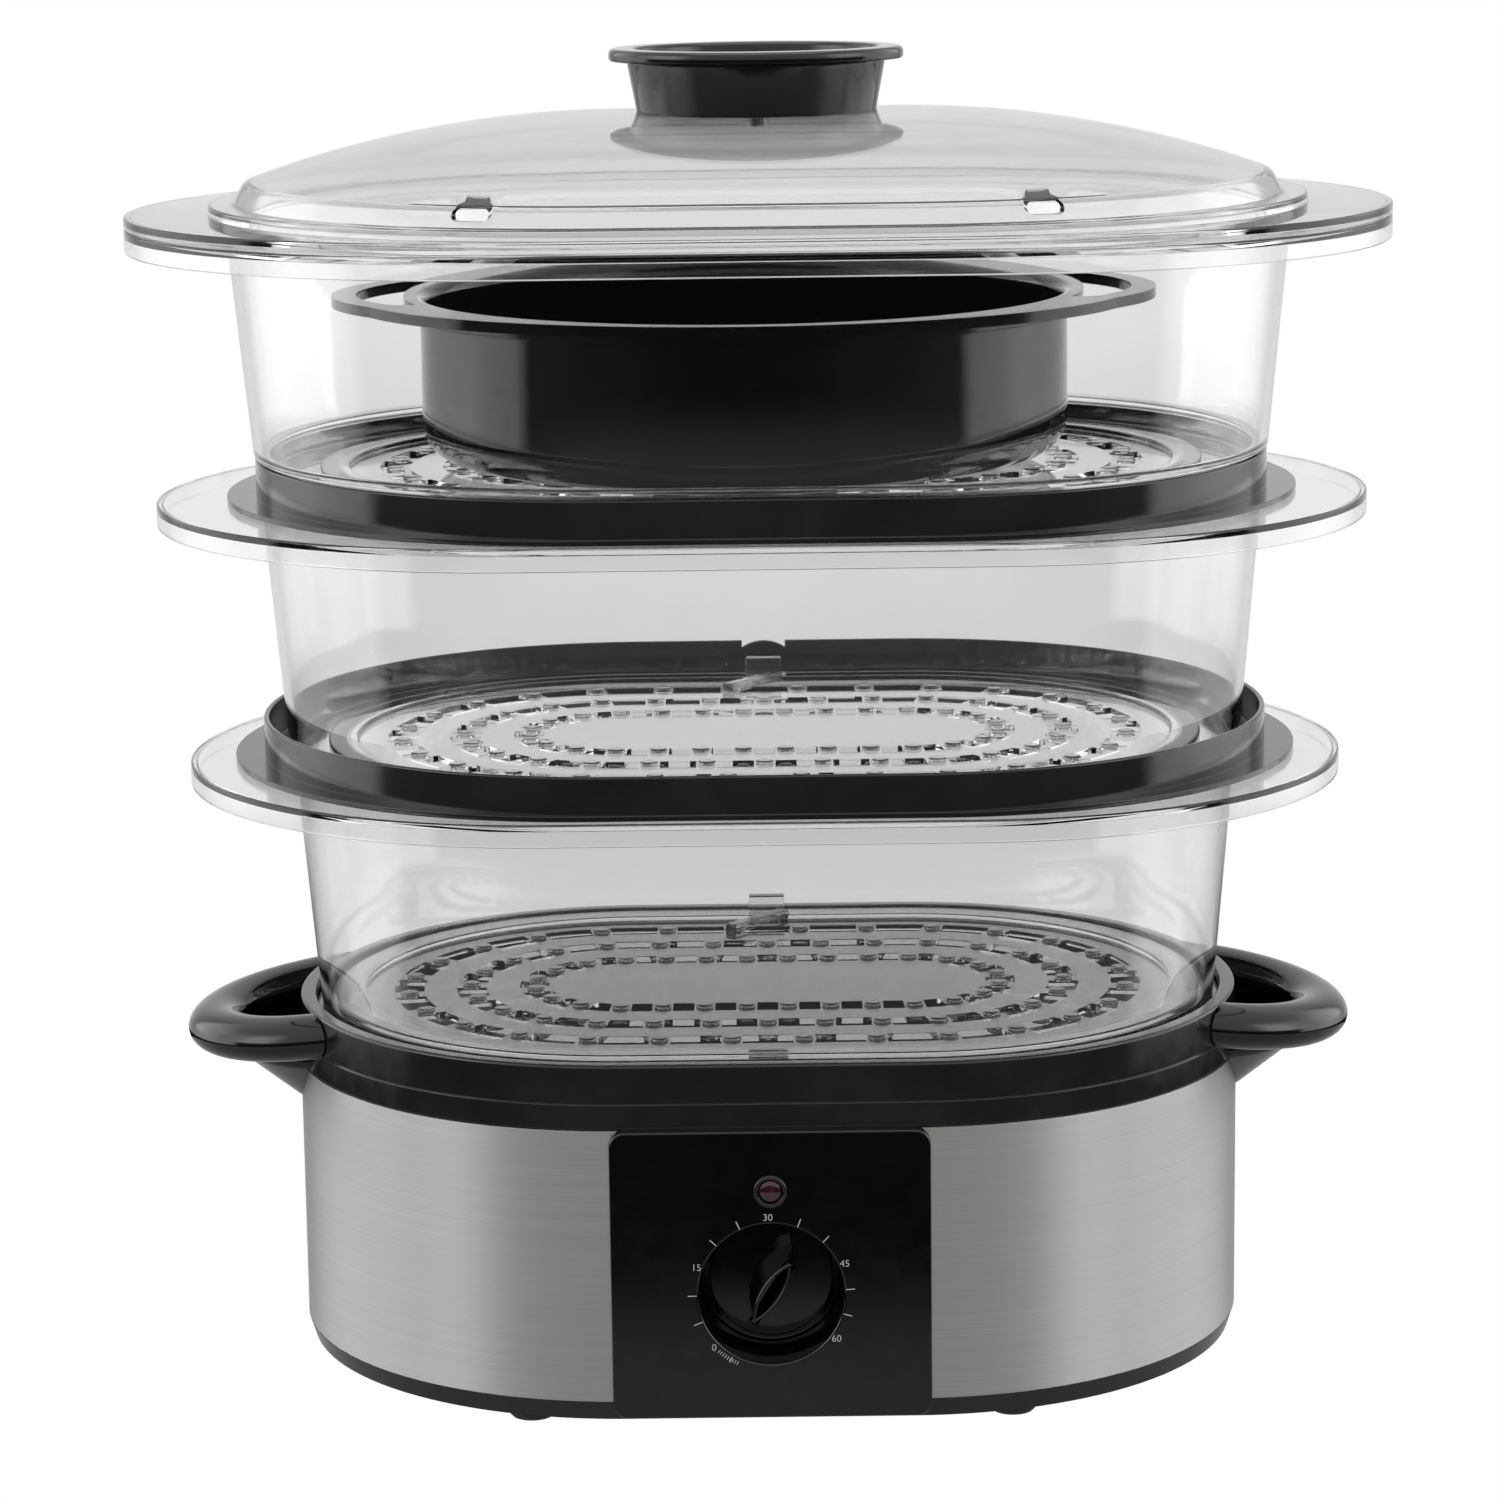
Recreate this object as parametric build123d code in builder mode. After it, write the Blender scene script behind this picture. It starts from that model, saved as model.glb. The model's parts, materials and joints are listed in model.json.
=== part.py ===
from build123d import *
import os
from math import atan2, cos, degrees, pi, radians, sin, sqrt

# Three-tier electric food steamer.
# +X is to the right of the control panel, +Y to the back, +Z up. The origin is on the table,
# under the middle of the oval base. All sizes are in millimetres.

os.makedirs("parts", exist_ok=True)

# ---------------------------------------------------------------- plan
HALF_STRAIGHT = 40.0  # every tier is a stadium: half the length of its straight sides
BASE_RADIUS = 97.5  # end radius of the steel band
SEAT_GAP = 0.3  # between pieces that lift off each other
SLIP_GAP = 0.3  # between pieces that slip inside each other

# ---------------------------------------------------------------- base heights
FOOT_HEIGHT = 3.0
BAND_BOTTOM = 8.5
BAND_TOP = 86.5
BAND_THICKNESS = 0.8
COLLAR_STEP = 94.0
COLLAR_TOP = 105.0
TANK_FLOOR_TOP = 65.5
TANK_FLOOR_THICKNESS = 2.5
LEDGE_TOP = 99.8

# ---------------------------------------------------------------- bottom plate
PLATE_THICKNESS = 2.5
PLATE_RIM_TAPER = 1.7
LOCATOR_WALL = 2.0
LOCATOR_HEIGHT = 7.5
FOOT_RADIUS = 6.5
FOOT_STEM_RADIUS = 3.5
FOOT_HEAD_RADIUS = 5.0
FOOT_HEAD_HEIGHT = 1.5
FOOT_EDGE = 0.75
FOOT_X = 67.5
FOOT_Y = 82.0

# ---------------------------------------------------------------- screws
SCREW_RADIUS = 1.5
HEAD_RADIUS = 2.75
HEAD_HEIGHT = 2.0
HEAD_CLEARANCE = 0.45
HANDLE_SCREW_LENGTH = 10.0
BOTTOM_SCREW_LENGTH = 15.0
CLAMP_SCREW_LENGTH = 6.5
TIMER_SCREW_LENGTH = 7.0
PILLAR_RADIUS = 4.5
PILLAR_BOSS_RADIUS = 5.5
PILLAR_BOSS_HEIGHT = 3.5
PILLAR_SIDE_X = 112.0
PILLAR_CORNER_X = 58.0
PILLAR_CORNER_Y = 70.0

# ---------------------------------------------------------------- tank and collar
TANK_IN = 14.5  # tank inside the band
TANK_WALL = 2.5
COLLAR_WIDTH = 5.0
COLLAR_STEP_IN = 0.5
COLLAR_EDGE = 0.8
LEDGE_WIDTH = 3.0
LEDGE_THICKNESS = 2.5
SKIRT_DEPTH = 8.8
INLET_HALF_WIDTH = 14.0
INLET_HEIGHT = 7.0

# ---------------------------------------------------------------- handles and spouts
HANDLE_IN = 11.5  # centre of a handle's ring, from the end of the base
HANDLE_CENTRE_Z = 99.0
HANDLE_RING_RADIUS = 36.3
HANDLE_HALF_WIDTH = 8.5
HANDLE_HALF_HEIGHT = 6.5
HANDLE_DROOP = 7.5
HANDLE_SCREW_ANGLE = 21.0
HANDLE_SCREW_Z = 93.8
SPOUT_BOTTOM = 72.5
SPOUT_SHOULDER = 87.5
SPOUT_TOP = 95.0
SPOUT_BOTTOM_RADIUS = 12.5
SPOUT_TOP_RADIUS = 30.5
SPOUT_WALL = 2.2
SPOUT_SCREW_Y = 9.0
SPOUT_SCREW_Z = 81.0
SPOUT_BOSS_RADIUS = 3.5

# ---------------------------------------------------------------- control panel
PANEL_HALF_WIDTH = 44.3
PANEL_BOTTOM = 4.5
PANEL_TOP = 87.0
PANEL_THICKNESS = 3.0
PANEL_CORNER = 4.2
PANEL_EDGE = 0.8
WINDOW_HALF_WIDTH = 38.0
WINDOW_BOTTOM = 17.0
WINDOW_TOP = 77.0
FRAME_WALL = 2.0
FRAME_DEPTH = 8.0
DIAL_Z = 40.2
WELL_RADIUS = 20.15
WELL_WALL = 1.8
WELL_DEPTH = 21.5
WELL_EDGE = 0.7
LAMP_Z = 69.8
LAMP_RADIUS = 3.5
BEZEL_WALL = 0.5
BEZEL_FLANGE_RADIUS = 4.65
BEZEL_FLANGE = 0.8
BEZEL_DEPTH = 8.5
LENS_DEPTH = 5.0
BULB_RADIUS = 2.7
BULB_LENGTH = 7.0

# ---------------------------------------------------------------- timer and knob
KNOB_RADIUS = 17.3
KNOB_RECESS = 16.5  # from the panel's face back to the knob's disc
KNOB_THICKNESS = 2.0
KNOB_EDGE = 0.5
KNOB_HUB_RADIUS = 6.0
KNOB_HUB_DEPTH = 2.2
GRIP_LENGTH = 22.5
GRIP_WIDTH = 9.0
GRIP_TOP_LENGTH = 21.0
GRIP_TOP_WIDTH = 6.0
GRIP_HEIGHT = 15.5
GRIP_EDGE = 0.6
GRIP_ANGLE = 31.5  # clockwise from upright, seen from the front, with the timer off
SPINDLE_RADIUS = 3.0
SPINDLE_FIT = 0.05
SPINDLE_IN_KNOB = 10.0
SPINDLE_IN_TIMER = 7.0
TIMER_WIDTH = 44.0
TIMER_HEIGHT = 38.0
TIMER_DEPTH = 26.0
TIMER_CORNER = 3.0
TIMER_SCREW_X = 12.5
BELL_RADIUS = 13.0
BELL_DEPTH = 7.0
BELL_WALL = 1.0
BELL_POST_RADIUS = 3.0

# ---------------------------------------------------------------- heater
HEATER_RADIUS = 35.0
HEATER_HOLE_GAP = 1.0
HEATER_DISC = 3.0
HEATER_RISE = 1.0
HEATER_SKIRT = 2.5
HEATER_FLANGE_RADIUS = 40.0
HEATER_FLANGE = 2.5
SEAL_THICKNESS = 2.0
ELEMENT_RING_RADIUS = 26.0
ELEMENT_RADIUS = 3.3
ELEMENT_LEG_END = 42.0
ELEMENT_GAP_ANGLE = 50.0
CLAMP_RADIUS = 48.0
CLAMP_OVERLAP = 4.0
CLAMP_THICKNESS = 1.5
CLAMP_SCREW_RING = 44.0
CLAMP_SCREW_TURNS = (90, 210, 330)
CLAMP_BOSS_RADIUS = 3.5
THERMOSTAT_RADIUS = 8.0
THERMOSTAT_HEIGHT = 8.0
FUSE_RADIUS = 2.2
FUSE_LENGTH = 14.0
FUSE_Y = 15.0
STEAM_RING_RADIUS = 50.0
STEAM_RING_WALL = 1.8
STEAM_RING_TOP = 90.0
STEAM_ARCH_HALF_WIDTH = 9.0
STEAM_ARCH_HEIGHT = 8.0

# ---------------------------------------------------------------- mains
GLAND_X = 25.0
GLAND_Z = 26.0
GLAND_RADIUS = 6.0
GLAND_FLANGE_RADIUS = 8.0
GLAND_FLANGE = 2.0
GLAND_BORE_RADIUS = 3.5
GLAND_GAP = 0.15
TERMINAL_X = 12.0
TERMINAL_Y = BASE_RADIUS - 29.5
TERMINAL_WIDTH = 30.0
TERMINAL_DEPTH = 18.0
TERMINAL_HEIGHT = 14.0
TERMINAL_HOLE_RADIUS = 1.8

# ---------------------------------------------------------------- drip tray
TRAY_WALL = 1.6
TRAY_WALL_GAP = 0.7
TRAY_FLOOR = 92.0
CHIMNEY_RADIUS = 20.0
CHIMNEY_TOP = 99.0

# ---------------------------------------------------------------- clear tiers
CLEAR_WALL = 2.0
LEDGE_PLATE = 1.6
FLOOR_LEDGE_IN = 9.6  # inner edge of the ledge, from the foot of the smallest basket
SKIRT_WALL = 1.8
SKIRT_HEIGHT = 6.4
BASKET_HEIGHT = 73.0
BASKET_1_IN = 1.9  # foot of the first basket inside the base's collar
BASKET_2_IN = 7.3  # foot of the second basket inside the joint ring's collar
BASKET_FLARE = 6.0
FLANGE_3_HALF_LENGTH = 180.0
FLANGE_2_SHORTER = 6.3  # at each end
FLANGE_1_SHORTER = 13.5
FLANGE_LIP = 2.0  # flange beyond the joint ring on it
FLANGE_3_LIP = 1.3  # top flange beyond its wall
BASKET_3_DROP = 6.5
BASKET_3_WALL_HEIGHT = 65.5
BASKET_3_FOOT_GAP = 0.6

# ---------------------------------------------------------------- slotted floors
FLOOR_PLATE = 1.8
FLOOR_LIFT = 0.2
FLOOR_RIM_IN = 4.1  # rim inside the foot of the smallest basket
FLOOR_RIM_WIDTH = 8.5
SLOT_WIDTH = 8.7
SLOT_RING_RADII = (65.2, 47.0, 28.5)
SLOT_RING_TURNS = (0.5, 0.0, 0.5)  # where the first bridge stands, in pitches from the middle
BRIDGES = 28
BRIDGE_WIDTH = 6.0
PIN_RADIUS = 2.6
PIN_HEIGHT = 1.0
EMBLEM_HALF_LENGTH = 36.0
EMBLEM_HALF_DEPTH = 17.0
EMBLEM_LINE = 0.8
EMBLEM_HEIGHT = 0.4
CLIP_WIDTH = 11.0
CLIP_DEPTH = 4.0
CLIP_HEIGHT = 6.8
LOW_CLIP_HEIGHT = 2.8
CLIP_RIB_LENGTH = 26.0
CLIP_RIB_WIDTH = 4.0
CLIP_RIB_ANGLE = 50.0

# ---------------------------------------------------------------- joint rings
RING_PLATE = 1.6
RING_COLLAR_OUT = 7.5  # collar beyond the base
RING_LIP = 0.4  # plate beyond the collar at the sides
RING_END_LIP = 8.4  # and at the ends
RING_COLLAR_WALL = 1.6
RING_COLLAR_HEIGHT = 12.2
RING_SHELF = 15.0  # from the collar to the opening
RING_NOTCH_WIDTH = 13.0
RING_NOTCH_DEPTH = 4.0

# ---------------------------------------------------------------- rice bowl
BOWL_X = -4.4
BOWL_RADIUS = 92.4
BOWL_WALL = 2.0
BOWL_HEIGHT = 46.5
BOWL_CORNER = 10.0
BOWL_MOUTH_ROUND = 3.5
BOWL_RIM_RADIUS = 96.0  # thicker rim under the flange
BOWL_RIM_HEIGHT = 2.6
BOWL_FLANGE_REACH = 112.0
BOWL_FLANGE_HALF_DEPTH = 98.5
BOWL_FLANGE = 3.0
BOWL_FOOT_HEIGHT = 2.7
BOWL_FOOT_LENGTH = 10.0
BOWL_FOOT_WIDTH = 5.0
BOWL_FOOT_X = 20.0
BOWL_FOOT_Y = 73.5
BOWL_LOOP_REACH = 117.8
BOWL_LOOP_HALF_DEPTH = 78.0
BOWL_LOOP_WIDTH = 7.0
BOWL_HOLE_RADIUS = 97.0  # inner edge of the finger holes
BOWL_HOLE_HALF_DEPTH = 33.0
BOWL_HOLE_CORNER = 2.8

# ---------------------------------------------------------------- lid
LID_SKIRT_HEIGHT = 3.2
LID_STEP_HEIGHT = 3.0
LID_STEP_END_IN = 24.0  # step inside the flange at the ends
LID_STEP_IN = 1.4  # and at the sides
LID_SHOULDER_IN = 2.2
LID_SHOULDER_HEIGHT = 5.7
LID_CROWN_IN = 3.2
LID_CROWN_RISE = 18.3
VENT_X = 76.6
VENT_LENGTH = 10.7
VENT_HEIGHT = 4.4
CUP_BOTTOM_HALF_LENGTH = 34.0
CUP_BOTTOM_HALF_DEPTH = 26.0
CUP_TOP_HALF_LENGTH = 36.9
CUP_TOP_HALF_DEPTH = 28.9
CUP_HEIGHT = 17.5
CUP_RIM_HALF_LENGTH = 41.8
CUP_RIM_HALF_DEPTH = 33.8
CUP_RIM_HEIGHT = 3.5
CUP_RIM_ROUND = 1.6
CUP_WALL = 2.6
CUP_FLOOR_RISE = 2.6
CUP_BOSS_RADIUS = 5.0
CUP_BOSS_HEIGHT = 6.0
LID_SCREW_RADIUS = 1.75
LID_SCREW_HEAD_RADIUS = 3.5
LID_SCREW_HEAD_HEIGHT = 2.2
LID_SCREW_LENGTH = 8.5
WASHER_RADIUS = 8.0
WASHER_THICKNESS = 1.0
WASHER_GAP = 0.15

# ---------------------------------------------------------------- worked out from the above
TANK_RADIUS = BASE_RADIUS - TANK_IN
COLLAR_INNER_RADIUS = BASE_RADIUS - COLLAR_WIDTH
HANDLE_CENTRE_X = HALF_STRAIGHT + BASE_RADIUS - HANDLE_IN
RING_COLLAR_RADIUS = BASE_RADIUS + RING_COLLAR_OUT
RING_OPENING_RADIUS = RING_COLLAR_RADIUS - RING_SHELF
RING_HALF_DEPTH = RING_COLLAR_RADIUS + RING_LIP
RING_HALF_LENGTH = HALF_STRAIGHT + RING_COLLAR_RADIUS + RING_END_LIP
BASKET_1_RADIUS = COLLAR_INNER_RADIUS - BASKET_1_IN
BASKET_2_RADIUS = RING_COLLAR_RADIUS - BASKET_2_IN
BASKET_3_RADIUS = RING_COLLAR_RADIUS + SEAT_GAP
FLOOR_LEDGE_RADIUS = BASKET_1_RADIUS - FLOOR_LEDGE_IN
FLOOR_RIM_RADIUS = BASKET_1_RADIUS - FLOOR_RIM_IN
FLANGE_HALF_DEPTH = RING_HALF_DEPTH + FLANGE_LIP
FLANGE_3_HALF_DEPTH = BASKET_3_RADIUS + BASKET_FLARE + FLANGE_3_LIP
FLANGE_1_HALF_LENGTH = FLANGE_3_HALF_LENGTH - FLANGE_1_SHORTER
FLANGE_2_HALF_LENGTH = FLANGE_3_HALF_LENGTH - FLANGE_2_SHORTER
LID_STEP_HALF_LENGTH = FLANGE_3_HALF_LENGTH - LID_STEP_END_IN
LID_STEP_HALF_DEPTH = FLANGE_3_HALF_DEPTH - LID_STEP_IN
LID_SHOULDER_RADIUS = LID_STEP_HALF_DEPTH - LID_SHOULDER_IN
LID_CROWN_RADIUS = LID_SHOULDER_RADIUS - LID_CROWN_IN
PANEL_FACE = BASE_RADIUS + PANEL_THICKNESS  # distance of the panel's face in front of the middle
BAND_INNER_RADIUS = BASE_RADIUS - BAND_THICKNESS
LOCATOR_RADIUS = BAND_INNER_RADIUS - SLIP_GAP
PLATE_TOP = FOOT_HEIGHT + PLATE_THICKNESS
PILLAR_FOOT = PLATE_TOP + PILLAR_BOSS_HEIGHT
TANK_FLOOR_BOTTOM = TANK_FLOOR_TOP - TANK_FLOOR_THICKNESS
COLLAR_BOTTOM = BAND_TOP + SEAT_GAP
TANK_OUTER_RADIUS = TANK_RADIUS + TANK_WALL
SHOULDER_TOP = COLLAR_BOTTOM + TANK_WALL
HEATER_TOP = TANK_FLOOR_TOP + HEATER_RISE
HEATER_UNDERSIDE = HEATER_TOP - HEATER_DISC
FLANGE_TOP = TANK_FLOOR_BOTTOM - SEAL_THICKNESS
FLANGE_BOTTOM = FLANGE_TOP - HEATER_FLANGE
CLAMP_BOTTOM = FLANGE_BOTTOM - CLAMP_THICKNESS
WELL_FLOOR = PANEL_FACE - WELL_DEPTH
TIMER_FRONT = WELL_FLOOR - WELL_WALL
KNOB_FACE = PANEL_FACE - KNOB_RECESS
TRAY_RIM_BOTTOM = LEDGE_TOP + SEAT_GAP
TRAY_RIM_TOP = TRAY_RIM_BOTTOM + TRAY_WALL
TRAY_RADIUS = COLLAR_INNER_RADIUS - LEDGE_WIDTH - TRAY_WALL_GAP
BASKET_1_BOTTOM = TRAY_RIM_TOP + SEAT_GAP
BASKET_1_TOP = BASKET_1_BOTTOM + BASKET_HEIGHT
RING_1_BOTTOM = BASKET_1_TOP + SEAT_GAP
BASKET_2_BOTTOM = RING_1_BOTTOM + RING_PLATE + SEAT_GAP
BASKET_2_TOP = BASKET_2_BOTTOM + BASKET_HEIGHT
RING_2_BOTTOM = BASKET_2_TOP + SEAT_GAP
BASKET_3_SHELF = RING_2_BOTTOM + RING_COLLAR_HEIGHT + SEAT_GAP
BASKET_3_BOTTOM = BASKET_3_SHELF - BASKET_3_DROP
BASKET_3_TOP = BASKET_3_SHELF + BASKET_3_WALL_HEIGHT
BASKET_3_FOOT_RADIUS = RING_COLLAR_RADIUS - RING_COLLAR_WALL - BASKET_3_FOOT_GAP
FLOOR_TOP_RISE = FLOOR_LIFT + FLOOR_PLATE
BOWL_FOOT_BOTTOM = BASKET_3_BOTTOM + FLOOR_TOP_RISE + SEAT_GAP
BOWL_BOTTOM = BOWL_FOOT_BOTTOM + BOWL_FOOT_HEIGHT
BOWL_TOP = BOWL_BOTTOM + BOWL_HEIGHT
LID_BOTTOM = BASKET_3_TOP + SEAT_GAP
LID_PLATE_TOP = LID_BOTTOM + LID_SKIRT_HEIGHT
LID_STEP_TOP = LID_PLATE_TOP + LID_STEP_HEIGHT
LID_SHOULDER_TOP = LID_STEP_TOP + LID_SHOULDER_HEIGHT
LID_CREST = LID_SHOULDER_TOP + LID_CROWN_RISE
CROWN_SPHERE = (LID_CROWN_RADIUS**2 + LID_CROWN_RISE**2) / (2 * LID_CROWN_RISE)

ON_FLOOR = (Align.CENTER, Align.CENTER, Align.MIN)
UNDER_TOP = (Align.CENTER, Align.CENTER, Align.MAX)


# ---------------------------------------------------------------- shapes that many pieces share
def half_section(*points):
    """A closed outline of (radius, height) points, standing in the YZ plane."""
    with BuildSketch(Plane.YZ) as section:
        with BuildLine():
            Polyline(*points, close=True)
        make_face()
    return section.sketch


def oval_body(section, mode=Mode.ADD):
    """Run a half section round a stadium: straight along both sides, turned round both ends."""
    extrude(section, amount=HALF_STRAIGHT, both=True, mode=mode)
    extrude(section.mirror(Plane.XZ), amount=HALF_STRAIGHT, both=True, mode=mode)
    for side in (-1, 1):
        end = Location((side * HALF_STRAIGHT, 0, 0))
        end_axis = Axis((side * HALF_STRAIGHT, 0, 0), (0, 0, -side))
        revolve(section.moved(end), axis=end_axis, revolution_arc=180, mode=mode)


def oval_prism(half_length, half_depth, low, high, mode=Mode.ADD):
    """An upright stadium block between two heights."""
    with BuildSketch(Plane.XY.offset(low)) as outline:
        SlotOverall(2 * half_length, 2 * half_depth)
    extrude(outline.sketch, amount=high - low, mode=mode)


def ring_prism(outer, inner, low, high, mode=Mode.ADD):
    """An upright round ring between two heights."""
    with BuildSketch(Plane.XY.offset(low)) as outline:
        Circle(outer)
        Circle(inner, mode=Mode.SUBTRACT)
    extrude(outline.sketch, amount=high - low, mode=mode)


def pan_screws(places, length):
    """Screws whose heads sit on the given places; each place's z axis runs along the shank."""
    with Locations(*places):
        Cylinder(SCREW_RADIUS, length, align=ON_FLOOR)
        Cylinder(HEAD_RADIUS, HEAD_HEIGHT, align=UNDER_TOP)


def screw_holes(places, length, head_depth=0.0):
    """The holes that pan_screws sit in, with room for a sunk head where one is asked for."""
    with Locations(*places):
        Cylinder(SCREW_RADIUS, length, align=ON_FLOOR, mode=Mode.SUBTRACT)
        if head_depth:
            Cylinder(HEAD_RADIUS + HEAD_CLEARANCE, head_depth, align=UNDER_TOP, mode=Mode.SUBTRACT)


def facing(x, y, z, direction):
    """A place at a point whose z axis looks along a direction."""
    return Plane(origin=(x, y, z), z_dir=direction).location


def panel_place(x, z, distance):
    """A place in front of the middle, looking back into the base."""
    return facing(x, -distance, z, (0, 1, 0))


# ---------------------------------------------------------------- where the screws go
bottom_screw_points = [
    (side * x, y)
    for side in (-1, 1)
    for x, y in ((PILLAR_SIDE_X, 0), (PILLAR_CORNER_X, PILLAR_CORNER_Y), (PILLAR_CORNER_X, -PILLAR_CORNER_Y))
]
bottom_screw_places = [
    facing(x, y, PLATE_TOP + PILLAR_BOSS_HEIGHT - HEAD_HEIGHT, (0, 0, 1)) for x, y in bottom_screw_points
]


def collar_screw_place(side, turn, radius):
    """On a ray that leaves the centre of one rounded end, at a height inside the collar."""
    angle = radians(turn * HANDLE_SCREW_ANGLE)
    direction = (side * cos(angle), sin(angle), 0)
    x = side * HALF_STRAIGHT + radius * direction[0]
    return facing(x, radius * direction[1], HANDLE_SCREW_Z, direction)


head_seat_radius = COLLAR_INNER_RADIUS + HEAD_HEIGHT
skirt_inner_radius = LOCATOR_RADIUS - LOCATOR_WALL
skirt_seat = HALF_STRAIGHT + sqrt(skirt_inner_radius**2 - (SPOUT_SCREW_Y + HEAD_RADIUS) ** 2)
handle_screw_places = {
    side: [collar_screw_place(side, turn, head_seat_radius) for turn in (-1, 1)] for side in (-1, 1)
}
spout_screw_places = {
    side: [facing(side * skirt_seat, y, SPOUT_SCREW_Z, (side, 0, 0)) for y in (-SPOUT_SCREW_Y, SPOUT_SCREW_Y)]
    for side in (-1, 1)
}
clamp_screw_places = [
    facing(
        CLAMP_SCREW_RING * cos(radians(angle)), CLAMP_SCREW_RING * sin(radians(angle)), CLAMP_BOTTOM, (0, 0, 1)
    )
    for angle in CLAMP_SCREW_TURNS
]
timer_screw_places = [panel_place(x, DIAL_Z, WELL_FLOOR) for x in (-TIMER_SCREW_X, TIMER_SCREW_X)]


# ---------------------------------------------------------------- base: plate, feet and band
with BuildPart() as bottom_plate:
    oval_body(
        half_section(
            (0, FOOT_HEIGHT),
            (BASE_RADIUS - PLATE_RIM_TAPER, FOOT_HEIGHT),
            (BASE_RADIUS, BAND_BOTTOM),
            (LOCATOR_RADIUS, BAND_BOTTOM),
            (LOCATOR_RADIUS, BAND_BOTTOM + LOCATOR_HEIGHT),
            (LOCATOR_RADIUS - LOCATOR_WALL, BAND_BOTTOM + LOCATOR_HEIGHT),
            (LOCATOR_RADIUS - LOCATOR_WALL, PLATE_TOP),
            (0, PLATE_TOP),
        )
    )
    with Locations(*[(x, y, PLATE_TOP) for x, y in bottom_screw_points]):
        Cylinder(PILLAR_BOSS_RADIUS, PILLAR_BOSS_HEIGHT, align=ON_FLOOR)
    screw_holes(bottom_screw_places, BOTTOM_SCREW_LENGTH, PLATE_THICKNESS + PILLAR_BOSS_HEIGHT)
    with BuildSketch(Plane.XY.offset(FOOT_HEIGHT)):
        with GridLocations(2 * FOOT_X, 2 * FOOT_Y, 2, 2):
            Circle(FOOT_STEM_RADIUS)
    extrude(amount=PLATE_THICKNESS, mode=Mode.SUBTRACT)

with BuildPart() as feet:
    with GridLocations(2 * FOOT_X, 2 * FOOT_Y, 2, 2):
        Cylinder(FOOT_RADIUS, FOOT_HEIGHT, align=ON_FLOOR)
        Cylinder(FOOT_STEM_RADIUS, PLATE_TOP, align=ON_FLOOR)
    with Locations(*[(x, y, PLATE_TOP) for x in (-FOOT_X, FOOT_X) for y in (-FOOT_Y, FOOT_Y)]):
        Cylinder(FOOT_HEAD_RADIUS, FOOT_HEAD_HEIGHT, align=ON_FLOOR)
    chamfer(feet.edges().group_by(Axis.Z)[0], FOOT_EDGE)

with BuildPart() as bottom_screws:
    pan_screws(bottom_screw_places, BOTTOM_SCREW_LENGTH)

with BuildPart() as steel_band:
    oval_prism(HALF_STRAIGHT + BASE_RADIUS, BASE_RADIUS, BAND_BOTTOM, BAND_TOP)
    oval_prism(
        HALF_STRAIGHT + BAND_INNER_RADIUS, BAND_INNER_RADIUS, BAND_BOTTOM, BAND_TOP, mode=Mode.SUBTRACT
    )
    with BuildSketch(Plane.XZ.offset(BASE_RADIUS)):
        with Locations((0, (WINDOW_BOTTOM + WINDOW_TOP) / 2)):
            Rectangle(2 * WINDOW_HALF_WIDTH, WINDOW_TOP - WINDOW_BOTTOM)
    extrude(amount=-2 * BAND_THICKNESS, mode=Mode.SUBTRACT)
    with Locations(facing(GLAND_X, BAND_INNER_RADIUS - BAND_THICKNESS, GLAND_Z, (0, 1, 0))):
        Cylinder(GLAND_RADIUS + GLAND_GAP, 3 * BAND_THICKNESS, align=ON_FLOOR, mode=Mode.SUBTRACT)
    for side in (-1, 1):
        screw_holes(spout_screw_places[side], HANDLE_SCREW_LENGTH)

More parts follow.
